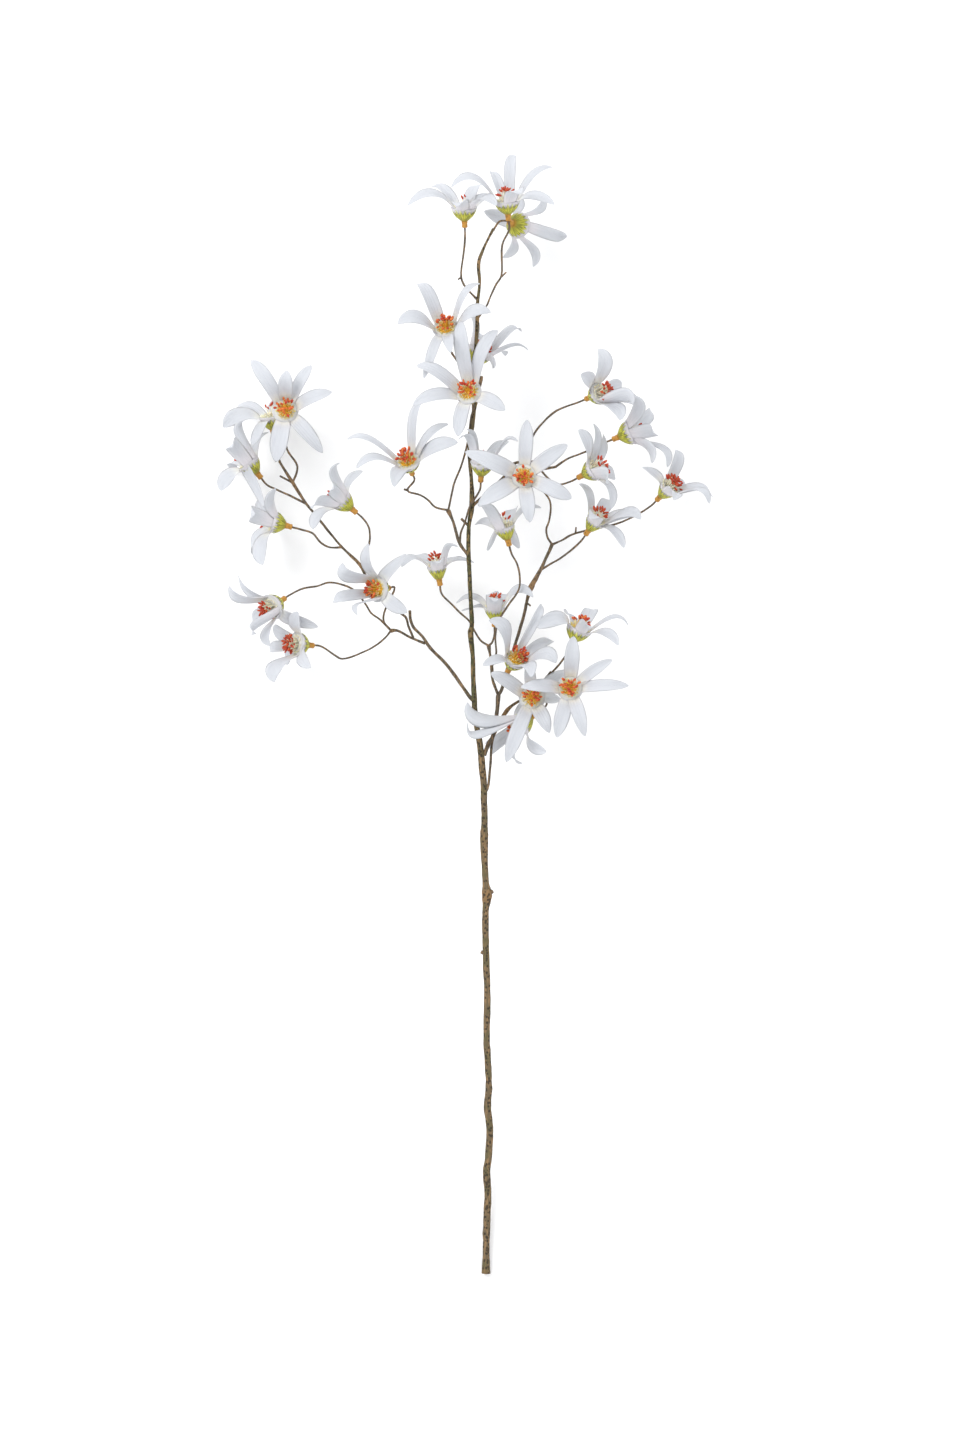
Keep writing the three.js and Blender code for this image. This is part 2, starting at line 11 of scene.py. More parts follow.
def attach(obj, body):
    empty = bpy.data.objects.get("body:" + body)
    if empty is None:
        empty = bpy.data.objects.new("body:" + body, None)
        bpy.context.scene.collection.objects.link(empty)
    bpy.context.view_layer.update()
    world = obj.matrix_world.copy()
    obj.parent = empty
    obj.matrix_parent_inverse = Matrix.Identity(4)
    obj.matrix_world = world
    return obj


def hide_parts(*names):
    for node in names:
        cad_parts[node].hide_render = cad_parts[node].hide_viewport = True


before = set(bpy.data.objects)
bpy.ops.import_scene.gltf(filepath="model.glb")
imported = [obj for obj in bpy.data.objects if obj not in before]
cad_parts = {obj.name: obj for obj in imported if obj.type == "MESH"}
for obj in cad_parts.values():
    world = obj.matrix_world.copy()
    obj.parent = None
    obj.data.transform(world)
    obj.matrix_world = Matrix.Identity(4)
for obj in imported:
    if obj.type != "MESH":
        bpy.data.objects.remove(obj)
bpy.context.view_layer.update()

bl_info = {
    "name": "Clematis sprig",
    "version": (1, 0, 0),
    "blender": (4, 5, 0),
    "location": "View3D > Sidebar > Clematis",
    "description": "Builds a flowering clematis sprig that lies on a table, piece by piece",
    "category": "Add Mesh",
}

MM = 0.001
ROOT = "root"
SEED = 11

# The blooms, in millimetres: where the petals spring, the direction that the bloom looks in as
# (turn from +X, lift toward +Z), how wide the calyx flares, and each petal's point measured from
# the cup. A point may go on with how high the petal arches, how wide it is and how far it twists.
# fmt: off
BLOOMS = [
    ((-2, 437, 90), (92, 12), 1, ((-48, -4, 6, 1.35, 0.9, -30), (-29, 14, -34, 0.6, 0.8),
     (14, 16, -42, 0.5), (28, 4, -22, 0.8, 1, 15), (28, -5, 32, 1.1, 1, 40), (-5, -6, 46, 0.55, 1.1))),
    ((34, 442, 104), (95, 14), 1, ((7, 35, -24, 0.4, 0.8), (40, 24, -8, 0.4, 0.8, 20),
     (41, -9, 14, 1, 0.85, 40), (-14, 22, -36, 0.4, 0.7), (-47, 6, 4, 1.4, 0.9, -20),
     (12, -1, 42, 0.6, 1.15))),
    ((47, 417, 64), (-15, -60), 1, ((39, -8, -22, 1, 0.85), (10, -34, -20, 1, 0.7),
     (-16, -26, -22, 1, 0.75), (19, 28, -18, 1, 0.8), (-32, 14, -20), (-10, 32, -24))),
    ((-18, 333, 100), (100, 45), 1, ((-23, 34, -6), (30, 34, -2, 0.9, 0.7), (39, 9, 14, 0.9, 1, 20),
     (-40, -1, 16, 1, 1, -35), (-18, -47, 8, 1, 0.7), (5, -26, 30, 0.9, 0.8))),
    ((14, 314, 58), (55, -10), 1, ((33, 14, -22, 0.5, 0.8), (39, -3, 12, 0.6, 0.8), (19, -6, -34, 0.6),
     (-6, 14, -40, 0.5), (-12, 28, 8, 0.5), (10, -18, 24, 0.9, 1, -40))),
    ((1, 277, 112), (112, 60), 1, ((-5, 58, -4), (26, 50, -4, 1, 0.9), (32, -18, 8), (-8, -40, 6),
     (-46, -14, 4), (-43, 20, 0))),
    ((-51, 220, 98), (110, 46), 1, ((16, 49, -8, 1, 0.75), (36, 28, -4, 0.8, 0.8),
     (44, 12, 10, 0.6, 1.1, 30), (-50, 15, 0, 0.9, 0.6), (-42, -10, 16, 1, 0.8),
     (-10, -26, 28, 0.7, 1, -30))),
    ((14, 220, 92), (85, 20), 0.9, ((-21, 14, 24, 1.1, 0.9, 40), (30, 13, 12, 0.9, 0.6),
     (-14, 24, -6, 0.4, 0.6), (22, 14, -30, 0.5), (8, 0, -44, 0.5), (20, -10, 12, 0.6))),
    ((49, 204, 120), (90, 85), 1, ((3, 47, -4), (37, 26, -2), (40, -20, 2), (5, -40, 4),
     (-39, -25, 4, 1, 1.15), (-50, 20, 4, 1, 1.15))),
    ((31, 166, 84), (105, 12), 0.8, ((-20, 11, 33, 0.5), (-24, -3, -20, 0.8, 0.8, -20),
     (-13, -25, -28, 1.1, 0.7), (14, -23, -26, 1.4, 0.7), (33, 11, -8, 1, 0.8, 35), (12, 12, -38, 0.5))),
    ((-26, 133, 60), (100, 10), 0.75, ((-29, -6, 10, 1.5, 0.75, -40), (19, 11, 18, 1, 0.8, -35),
     (22, 3, -30, 0.5, 0.8), (33, -2, -8, 1, 0.7), (-20, 4, -38, 0.5, 0.8), (3, -3, 36, 0.5, 1.1))),
    ((-79, 108, 88), (185, 52), 1, ((-4, 39, 8), (28, 30, -4), (29, -20, 4), (-13, -23, 26, 0.7, 0.7),
     (-34, -11, 14, 0.8, 0.8), (-26, 22, 18, 1, 1, 20))),
    ((24, 98, 70), (90, 15), 0.8, ((-33, -2, -12, 1.4, 0.7, -35), (-28, -8, -26, 0.7, 0.7),
     (33, 3, 8, 1.6, 0.8, 50), (16, 6, -38, 0.5), (-3, 7, -44, 0.5, 0.9), (0, -1, 40, 0.5, 1.1))),
    ((44, 52, 88), (58, 40), 0.9, ((-25, 29, 20, 0.8, 1.05, -45), (-30, -9, 24, 0.8, 0.7),
     (30, 12, -28, 0.8, 0.75), (11, -19, 36, 0.6, 1, 50), (32, -7, 18, 1, 1, 45), (20, 43, -6, 0.9, 0.6))),
    ((98, 79, 78), (64, 10), 1, ((-38, -4, 18, 1.7, 1.15, -75), (40, -2, -8, 1, 0.65),
     (31, -19, 14, 1, 0.8, 50), (10, 12, -40, 0.5), (6, -4, 40, 0.5), (-14, 10, -40, 0.5))),
    ((88, 25, 102), (90, 80), 1, ((3, 43, 2), (36, 23, 0, 1, 0.75), (50, 1, 0, 0.8, 0.8), (13, -42, 4),
     (-11, -43, -4), (-42, 0, 8))),
    ((56, 17, 84), (90, 80), 1, ((-35, 20, 2), (-22, -56, 6), (15, -31, 12), (-3, 28, 0, 1, 0.8),
     (25, -3, -24, 1.5, 0.8), (30, 22, -20))),
    ((42, -10, 69), (215, 5), 0.9, ((-41, 22, 12, 0.8, 1.1, -65), (-41, 5, 18), (26, -20, 20, 1, 1, -45),
     (6, -30, -32, 1, 0.6), (10, 26, -38), (-20, -16, -40))),
    ((-154, 262, 72), (90, 75), 1, ((-29, 41, -4), (1, 32, 10, 0.8), (22, 37, -6, 1, 0.8), (40, 14, 2),
     (32, -38, 0), (-8, -46, 4, 1, 1.2))),
    ((-168, 261, 42), (100, 10), 0.9, ((-39, -15, 8, 1.1, 1.15, -70), (-28, 4, -30, 0.5),
     (-14, -30, 24, 0.8), (30, 8, -12), (10, 10, -34, 0.5), (18, -8, -34, 0.9))),
    ((-189, 220, 48), (130, 5), 0.9, ((0, 32, 16, 0.5, 1, -35), (20, 23, -26, 0.6, 0.9, 45),
     (-9, 9, 38, 0.9, 1.1), (-20, -28, 4, 1, 1.1, -70), (-9, -10, -48), (17, -42, 16, 1.6))),
    ((-170, 167, 52), (165, 5), 0.9, ((8, 27, 26, 0.6, 1, -45), (-3, -38, 10, 1, 1.2, -80),
     (-13, -28, -24, 0.8), (-9, 5, 40, 0.9, 1.1), (-6, 20, -30, 0.5), (4, -6, -44, 0.6))),
    ((-110, 187, 80), (140, 10), 0.85, ((3, 28, 22, 0.6, 1, -35), (22, 22, -22, 0.8, 0.7, 45),
     (-20, -11, 32, 0.5), (-20, -28, 4, 1, 1.15, -65), (-6, -8, -44, 0.5), (-2, 6, 40, 0.5, 0.9))),
    ((-169, 91, 60), (214, 38), 1, ((-33, 20, 4, 0.9), (-26, 30, -14, 0.9, 0.7), (-9, -21, 30, 0.5, 0.8),
     (3, -31, 14, 0.6, 0.8, -45), (43, -15, -4, 0.8, 1.1, -30), (-14, -10, -42, 0.5))),
    ((-149, 62, 54), (175, 32), 1, ((-14, -33, 18, 0.6, 1.2, -75), (17, -21, 30, 0.5, 1, -30),
     (6, 27, 13, 0.6, 1, 50), (-19, -4, -20, 0.6, 0.8), (-16, 15, -34, 0.5), (-6, -16, -38, 0.5))),
    ((117, 276, 84), (22, 42), 0.9, ((-5, 36, 10, 0.8, 1.1, -35), (-20, 14, 18, 0.6, 1, -40),
     (32, -10, -28, 0.7), (24, -12, 24, 0.5, 1.15, -75), (13, -25, 22, 0.5, 1.1, 65), (16, 8, -38, 0.5))),
    ((145, 244, 60), (22, 8), 1, ((-2, 28, 24, 0.5, 1.1, 50), (12, 18, -36, 0.5), (26, -32, 6, 1.1, 1, 45),
     (13, -29, 20, 0.8, 1, -55), (9, -11, -40, 0.5), (14, -4, 36, 0.5))),
    ((113, 212, 88), (27, 22), 0.9, ((-18, 31, 14, 0.5, 1, -50), (-5, 37, -12, 0.5, 1, -15),
     (4, 28, -30, 0.5), (10, -36, 6, 1.2, 1, 20), (5, -15, 36, 0.6, 1.1, -45), (14, -8, -38, 0.5))),
    ((113, 171, 80), (55, 25), 0.75, ((-17, 27, -14, 0.7, 0.8), (35, -4, 10, 0.7, 1, 45),
     (21, -28, 6, 1, 0.8, 20), (-8, -4, 37, 0.7, 1.1), (8, 14, -40, 0.5), (32, -2, -18, 0.6))),
    ((176, 198, 46), (45, 30), 0.75, ((3, 30, -22, 0.9, 0.8), (-26, 15, -6, 0.8, 0.8), (34, -11, -8),
     (31, -17, 14, 1.1, 0.8), (0, -14, 35, 0.6, 1.1), (14, -4, -46))),
]

# The wood, as stations of (x, y, z, radius) along each limb's axis, in millimetres.

STEM = [
    (16.7, -477, 4, 3.7), (17, -459.5, 5, 2.9), (17.5, -431, 8, 3.2), (18.4, -408, 11, 2.9),
    (17.4, -390, 13, 3.2), (19, -375, 15, 2.9), (20, -351, 18, 3.1), (17.9, -333, 20, 3.3),
    (19.3, -318, 22, 2.9), (18.7, -300, 24, 2.9), (17.3, -274, 27, 2.9), (17.9, -241, 31, 2.9),
    (17, -209, 35, 2.9), (16.4, -182, 38, 2.9), (16.6, -164, 40, 2.9), (17.6, -153, 42, 4.3),
    (16.6, -142, 43, 2.9), (15.8, -125, 45, 2.8), (15.2, -104, 47, 3.6), (15.6, -90, 48, 2.7),
    (15.2, -73, 51, 2.8), (14.8, -56, 53, 2.9), (13.4, -43, 55, 3.1), (12.2, -29, 58, 2.8),
    (10.5, -17, 60, 2.6), (7.8, -2, 62, 2.2), (6.8, 14, 64, 2.3), (6, 34, 66, 1.9), (5.4, 52, 68, 1.9),
    (3.8, 71, 70, 2.5), (4.7, 77, 70, 1.9), (3.8, 98, 72, 1.8), (2.9, 119, 74, 1.8), (2.2, 133, 76, 1.9),
    (2.2, 161, 78, 1.7), (4.8, 179, 78, 2.4), (4.3, 202, 79, 1.6), (2.6, 227, 79, 1.6), (4.3, 239, 80, 1.6),
    (6.4, 258, 80, 1.8), (7, 273, 80, 3.4), (4.4, 291, 80, 1.6), (7.9, 313, 81, 1.5), (9.4, 335, 81, 1.7),
    (9.6, 351, 82, 1.5), (11.4, 368, 82, 1.3), (10.7, 386, 83, 1.6), (17.9, 404, 84, 1), (23, 414, 85, 1.3),
]

BRANCHES = [
    # Right arm, fork, left and right upper arms.
    [(15.3, -33, 57, 1.9), (19.6, -22, 60, 1.8), (22, -18, 61, 1.7), (24.7, -6, 63, 1.6),
     (26.4, 6, 65, 1.6), (27.2, 18, 66, 2.1)],
    [(27.2, 18, 66, 1.3), (23.8, 27, 67, 1.2), (22.5, 31, 68, 1.2), (21.6, 43, 70, 1.5),
     (20.2, 53, 71, 1.1), (19, 60, 71, 1.7)],
    [(27.2, 18, 66, 1.6), (29.8, 22, 66, 1.4), (34, 38, 67, 1.3), (42.2, 63, 69, 1.3), (49.8, 89, 71, 1.3),
     (51.9, 99, 72, 1.4), (55.3, 110, 73, 2.2), (62.9, 124, 74, 1.6), (68, 135, 76, 1.2),
     (73, 146, 78, 1.6)],
    # Thin branch beside the arm, and its way on behind the two front blooms.
    [(15, -66, 52, 1), (17.9, -62, 54, 1.2), (20.4, -43, 56, 1.1), (21.3, -28, 57, 1.1), (23, -18, 57, 1.1),
     (29, -5, 57, 1.5), (34, 4, 56, 1.9), (40, 10, 54, 1.2), (54, 18, 50, 1.2), (67, 31, 54, 1.6),
     (72, 38, 59, 1)],
    # Left branch with its cut top, its fork to the joint, and the way up behind the bloom.
    [(5.4, 14, 63, 1.6), (3.4, 16, 64, 1.6), (-5, 28, 65, 1.4), (-13.6, 40, 66, 1.4), (-20.4, 48, 66, 1.3),
     (-30.6, 58, 66, 1.4), (-37.4, 68, 66, 1.2), (-45, 76, 66, 1.2), (-47.6, 83, 66, 1.2),
     (-48.1, 90, 66, 1.3)],
    [(-35, 62, 66, 1.2), (-47.3, 67, 64, 1), (-58.7, 73, 62.5, 1.1), (-64, 73, 62, 1.8)],
    [(-45, 67, 64, 1), (-49.3, 77, 62, 1), (-51.3, 84, 60, 1.1), (-56, 88, 58, 1), (-72, 104, 57, 1),
     (-85, 119, 58, 1.1), (-90.4, 129, 57, 1.5), (-105.8, 144, 55, 1), (-121.6, 163, 52, 1.1),
     (-128.8, 172, 50, 1), (-136.2, 181, 48, 1.1), (-147.9, 199, 45, 1.5), (-159.2, 217, 42, 1)],
    # Left upper sub-branch up to its joint.
    [(2, 136, 76, 1.2), (0.8, 138, 76, 1.3), (-5.6, 147, 77, 1.4), (-11, 165, 78, 1.2),
     (-15.3, 175, 79, 1.9)],
    # Right upper branch.
    [(5, 178, 78, 1.3), (6.8, 180, 78, 1.3), (14.5, 187, 76, 1.3), (27.2, 198, 74, 1.8),
     (32.3, 204, 73, 1.2), (40.8, 215, 72, 1.2), (52, 216, 71, 1.1), (62, 211, 70, 1.5),
     (75.7, 212, 68, 1)],
]

STUBS = [
    [(17, -203, 36, 1.6), (12.6, -201, 37, 1.5)],
    [(17, -152, 42, 2.2), (22.6, -149, 43, 1.9)],
    [(3, 161, 78, 1.2), (-4.2, 168, 79, 1.1)],
    [(7, 273, 80, 1.6), (12, 283, 79, 1.6), (13, 289, 78, 1.4)],
    [(-4.3, 373, 84, 0.8), (-7, 371, 84.5, 0.7)],
    [(29.8, 373, 89, 0.8), (34, 377, 90, 0.7)],
    [(-49, 192, 75, 0.9), (-53, 193, 76, 0.9)],
    [(51, 97, 72, 0.8), (54.8, 94, 72.5, 0.8)],
    [(93, 156, 62, 0.8), (93.5, 161, 62, 0.7)],
    [(-147.9, 199, 45, 0.9), (-159, 205, 44, 0.8)],
    [(52, 216, 71, 0.9), (58.5, 217, 73, 1.1)],
]

# One twig to a bloom: where it leaves the wood and its stations on the way to the socket.

TWIGS = [
    [(9.6, 354, 82), (3.4, 360, 83), (-1, 365, 83.5), (-4.3, 373, 84), (-1.7, 397, 84)],
    [(9.6, 338, 81.5), (17, 348, 84), (20.4, 356, 86), (25.5, 367, 88), (29.8, 374, 89), (30.6, 400, 90)],
    [(23, 413, 85), (28, 420, 88)],
    [(7, 273, 80), (2, 286, 80), (-5, 298, 79)],
    [(7, 273, 79), (5, 281, 70)],
    [(-15.3, 175, 79), (-12.8, 187, 82), (-10.2, 198, 84), (-4.5, 212, 82), (1, 232, 79), (4, 253, 81)],
    [(-15.3, 175, 79), (-26.5, 178, 77), (-32.6, 184, 76), (-38.7, 188, 75.5), (-50, 192, 75)],
    [(-5.6, 147, 77), (-4.5, 156, 79), (-1, 165, 82), (3, 178, 83)],
    [(73, 146, 78), (69, 152, 84), (68, 159, 86), (70.6, 167, 87), (71, 183, 87), (60, 196, 86)],
    [(21.6, 43, 70), (24.2, 46, 74), (25.5, 55, 77), (24.7, 68, 82), (27, 80, 85), (31.5, 88, 86),
     (38.3, 98, 86), (42, 103, 84), (45, 109, 81), (45.5, 119, 79), (43, 130, 77)],
    [(19, 60, 71), (12.8, 64, 67), (6.8, 73, 61), (2.6, 81, 57), (-5, 88, 54), (-11.9, 95, 53)],
    [(-64, 73, 62), (-70, 80, 60), (-70, 88, 57)],
    [(19, 60, 71), (22, 63, 66)],
    [(29.8, 22, 66), (31, 27, 64)],
    [(67, 31, 55), (79, 44, 62)],
    [(67, 31, 55), (80, 22, 61)],
    [(54, 18, 50), (56, 13, 51)],
    [(54, 18, 50), (68, 13, 55)],
    [(-147.9, 199, 45), (-144, 213, 43), (-153, 228, 39), (-154, 244, 37)],
    [(-159.2, 217, 42), (-161, 223, 38)],
    [(-136.2, 181, 48), (-150, 188, 47), (-161, 193, 46)],
    [(-105.8, 144, 55), (-116, 144, 54), (-124, 148, 53), (-131, 156, 51)],
    [(-88, 125, 57), (-87.6, 134, 60), (-82.7, 147, 66), (-82, 154, 70), (-83, 161, 73)],
    [(-64, 73, 62), (-73, 82, 62), (-81, 88, 61), (-85.5, 95, 60), (-95, 107, 58), (-105, 112, 57),
     (-117, 114, 55), (-127, 111, 53), (-139, 109, 49)],
    [(-64, 73, 62), (-68, 68, 60), (-74.8, 62, 57), (-85, 56, 53), (-106, 49, 45), (-112, 52, 42)],
    [(52, 216, 71), (56.6, 238, 72), (67.2, 252, 72), (77, 260, 71)],
    [(75.7, 212, 68), (85.9, 219, 66), (96, 223, 63), (108, 228, 59)],
    [(62, 211, 70), (70, 202, 73), (78, 197, 78)],
    [(62.9, 124, 74), (70.6, 129, 73), (81, 135, 71)],
    [(73, 146, 78), (82, 150, 72), (88.4, 154, 65), (101, 158, 60), (115.6, 161, 57), (128, 164, 53),
     (140, 169, 46)],
]
# fmt: on

# Every place in the tables moves by this much, in millimetres, which centres the sprig on the origin.

CENTRING = Vector((0.2, 0.105, 0))

# A twig's last two stations lie on its bloom's axis, this far behind the place where the petals spring.
# Near the wood it starts thicker, and its first length is straight.

TWIG_APPROACH = 29.5
TWIG_SEAT = 20.5
TWIG_FOOT = 1.6
TWIG_SWELL = (1.45, 1.15)

# The socket, calyx and cup, as (radius, height) profiles. A height is measured along a bloom's axis
# from the place where the petals spring, in millimetres.

SOCKET_PROFILE = [
    (0, -22.5), (2.0, -22.4), (2.5, -21.7), (2.3, -19.4), (2.65, -17.6), (2.4, -16.4), (0, -16.4)]
SOCKET_SIDES = 20
CALYX_FOOT = -17
CALYX_TIP = -6.0
CALYX_NOTCH = -10.8
CALYX_LOBES = 16
CALYX_ROWS = 5
CALYX_LOBE_SIDES = 6
CALYX_WALL = [(2.5, -17), (4.2, -15.6), (7.2, -13), (9.0, -10.4), (10.0, -8), (10.9, -5)]
CALYX_BULGE = 0.5
CALYX_THICKNESS = 0.5
CALYX_EDGE = 0.25
CUP_WALL = [(0.0, -12.4), (4.6, -12.0), (7.2, -10.8), (8.8, -9.2), (10.0, -7.4), (11.5, -4.8)]
CUP_SIDES = 48
CUP_DIP = 0.6
CUP_THICKNESS = 0.4
THROAT_LIFT = 7.0

# The petals. PLAIN_PETAL is the arch, width and twist of a petal that gives none of them.

PLAIN_PETAL = (1, 1, 0)
PETAL_ROOT_RADIUS = 6
PETAL_ROOT_DEPTH = 9.5
PETAL_RISE = (0.14, 0.28)
PETAL_RECURVE = (0.42, 0.37)
PETAL_ROWS = 18
PETAL_COLUMNS = 8

# The stamens. Each bloom in DEEP_HEARTS has a pale heart that sits deeper, and dark narrow heads on about
# so many of its filaments. The kinds tell the finish what a point belongs to.

FILAMENTS = 38
HEADS = 20
FRINGE = 30
DEEP_HEARTS = {
    1: 6, 2: 16, 3: 4, 8: 8, 10: 8, 11: 12, 13: 10, 20: 10, 21: 6, 22: 6, 23: 10, 24: 36, 25: 36,
    26: 24, 27: 12, 28: 22, 29: 22, 30: 24}
SUNK = 2.5
HEART_KIND = 0
FRINGE_KIND = 0.3
OUTER_KIND = 0.46
INNER_KIND = 0.62
HEAD_KIND = 1
HEART_SIDES = 18
HEART_ROUGHNESS = 0.7
GOLDEN_ANGLE = 137.5
FILAMENT_ROOT = 4.6
FILAMENT_FOOT = -4.6
FILAMENT_SPREAD = 8.0
FILAMENT_DOME = 4.5
HEAD_LIFT = (4.0, 7.0)
BARE_LIFT = (0.6, 2.4)
HEAD_WIDTH = 0.60
DEEP_HEAD_WIDTH = 0.42
DEEP_HEAD_LENGTH = 1.2
FRINGE_RADIUS = 5.8
FRINGE_FOOT = -6.2
FRINGE_SPREAD = (7.2, 9.0)
FRINGE_TOP = (-4.4, -2.6)
HEART_PROFILE = [(0, -10.0), (4.6, -8.6), (6.2, -6.6), (6.2, -5.0), (4.4, -3.4), (0, -2.6)]


def length_property(name, description, default, low, high):
    return bpy.props.FloatProperty(
        name=name, description=description, default=default, min=low, max=high, unit="LENGTH")


class SprigSizes(bpy.types.PropertyGroup):
    """The sizes of the sprig that a user would change, in metres."""

    petal_width: length_property(
        "Petal width", "Full width of a petal where it is widest", 0.0128, 0.006, 0.018)
    petal_thickness: length_property(
        "Petal thickness", "Thickness of a petal's cloth at its midrib", 0.0005, 0.0002, 0.0015)
    petal_trough: length_property(
        "Petal trough", "How far a petal's midrib lies below its two edges", 0.0018, 0.0, 0.004)
    twig_radius: length_property(
        "Twig radius", "Radius of the thin twig under each bloom", 0.00085, 0.0004, 0.002)
    filament_radius: length_property(
        "Filament radius", "Radius of one stamen's filament", 0.00038, 0.0001, 0.001)
    head_length: length_property(
        "Head length", "Length of the red head on each filament", 0.0038, 0.001, 0.006)


def colour_property(name, description, default):
    return bpy.props.FloatVectorProperty(
        name=name, description=description, default=default, min=0, max=1, size=3, subtype="COLOR")


class SprigColours(bpy.types.PropertyGroup):
    """The colours of the sprig that a user would change."""

    stem: colour_property("Stem", "Olive tan of the lower stem's bark", (0.128, 0.093, 0.050))
    upper_stem: colour_property("Upper stem", "Dark olive green of the stem higher up", (0.056, 0.057, 0.021))
    twig: colour_property("Twig", "Grey brown of the branches and twigs", (0.098, 0.076, 0.054))
    knot: colour_property("Knot", "Rusty tan of the joints and cut ends", (0.260, 0.150, 0.066))
    socket: colour_property("Socket", "Amber of the sockets under the blooms", (0.470, 0.225, 0.030))
    calyx: colour_property("Calyx", "Yellow green of the calyx", (0.560, 0.540, 0.065))
    streak: colour_property("Calyx streak", "Dark olive streaks in the calyx", (0.100, 0.112, 0.010))
    petal: colour_property("Petal", "Cool white of the petals' cloth", (0.500, 0.514, 0.542))
    # Real faint pink at the petals' foot, made lighter than the petal white as painted light on the shaded
    # outer foot and cup wall.
    blush_and_painted_light: colour_property("Blush", "Faint pink at the foot of the petals", (0.640, 0.600, 0.620))
    # A faint cream tint inside the cup, made much lighter than the petal white as painted light against the
    # shade deep in the cup.
    throat_and_painted_light: colour_property("Throat", "Cream inside the cup", (0.690, 0.690, 0.640))
    heart: colour_property("Heart", "Golden yellow of the stamens' heart", (0.760, 0.390, 0.020))
    filament: colour_property("Filament", "Cream yellow of the filaments", (0.820, 0.720, 0.380))
    head: colour_property("Head", "Orange red of the stamens' heads", (0.440, 0.036, 0.013))


# Mesh helpers.


class Shape:
    """Points in millimetres, faces between them and a number at each point for every named value."""

    def __init__(self, *names):
        self.points = []
        self.faces = []
        self.values = {name: [] for name in names}

    def point(self, place, **values):
        self.points.append(place)
        for name, column in self.values.items():
            column.append(values.get(name, 0.0))
        return len(self.points) - 1

    def bridge(self, ring, following):
        """Joins two rings of as many points with quads, each ring running the same way round."""
        for i in range(len(ring)):
            after = (i + 1) % len(ring)
            self.faces.append((ring[i], ring[after], following[after], following[i]))

    def skin(self, rings, flipped=False):
        """Joins each ring to the next one. A flipped skin faces the other way."""
        for low, high in zip(rings, rings[1:]):
            self.bridge(high, low) if flipped else self.bridge(low, high)

    def close(self, ring, tip, above=True):
        """Closes a ring onto one point, above it or below it."""
        for i in range(len(ring)):
            after = (i + 1) % len(ring)
            self.faces.append((ring[i], ring[after], tip) if above else (ring[after], ring[i], tip))

    def make(self, name, material, slot, *nodes):
        """Makes the piece, gives it its material and lets it ride on the sprig."""
        mesh = bpy.data.meshes.new(name)
        mesh.from_pydata([(p + CENTRING) * MM for p in self.points], [], self.faces)
        for label, column in self.values.items():
            layer = mesh.attributes.new(label, "FLOAT", "POINT")
            layer.data.foreach_set("value", column)
        mesh.shade_smooth()
        mesh.materials.append(material)
        piece = bpy.data.objects.new(name, mesh)
        bpy.context.scene.collection.objects.link(piece)
        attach(piece, ROOT)
        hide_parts(*nodes)


def mix(first, second, part):
    return first + (second - first) * part


def ease(value):
    value = min(max(value, 0.0), 1.0)
    return value * value * (3 - 2 * value)


def smooth_path(points, steps):
    """Places and directions along a centripetal curve through the points."""
    line = [2 * points[0] - points[1], *points, 2 * points[-1] - points[-2]]
    places, directions = [], []
    for span in range(len(points) - 1):
        before, start, end, beyond = line[span:span + 4]
        gaps = [math.sqrt((q - p).length) for p, q in ((before, start), (start, end), (end, beyond))]
        leave = (start - before) / gaps[0] - (end - before) / (gaps[0] + gaps[1]) + (end - start) / gaps[1]
        arrive = (end - start) / gaps[1] - (beyond - start) / (gaps[1] + gaps[2]) + (beyond - end) / gaps[2]
        leave *= gaps[1]
        arrive *= gaps[1]
        last = span == len(points) - 2
        for step in range(steps + last):
            t = step / steps
            s = 1 - t
            places.append(start * (s * s * (1 + 2 * t)) + leave * (s * s * t)
                          + end * (t * t * (3 - 2 * t)) - arrive * (t * t * s))
            along = (end - start) * (6 * s * t) + leave * (s * (1 - 3 * t)) + arrive * (t * (3 * t - 2))
            directions.append(along.normalized())
    return places, directions


class Pose:
    """A bloom's own frame: its centre, the way that it looks, and a sideways pair of directions."""

    def __init__(self, cup, face, flare):
        self.flare = flare
        turn, lift = (math.radians(angle) for angle in face)
        self.centre = Vector(cup)
        self.forward = Vector(
            (math.cos(lift) * math.cos(turn), math.cos(lift) * math.sin(turn), math.sin(lift)))
        self.aside = self.forward.orthogonal().normalized()
        self.upright = self.forward.cross(self.aside)

    def out(self, turn):
        return self.aside * math.cos(turn) + self.upright * math.sin(turn)

    def place(self, turn, radius, height):
        return self.centre + self.out(turn) * radius + self.forward * height


POSES = [Pose(cup, face, flare) for cup, face, flare, _ in BLOOMS]


# The wood: rough tubes along smooth curves, swollen at the joints.


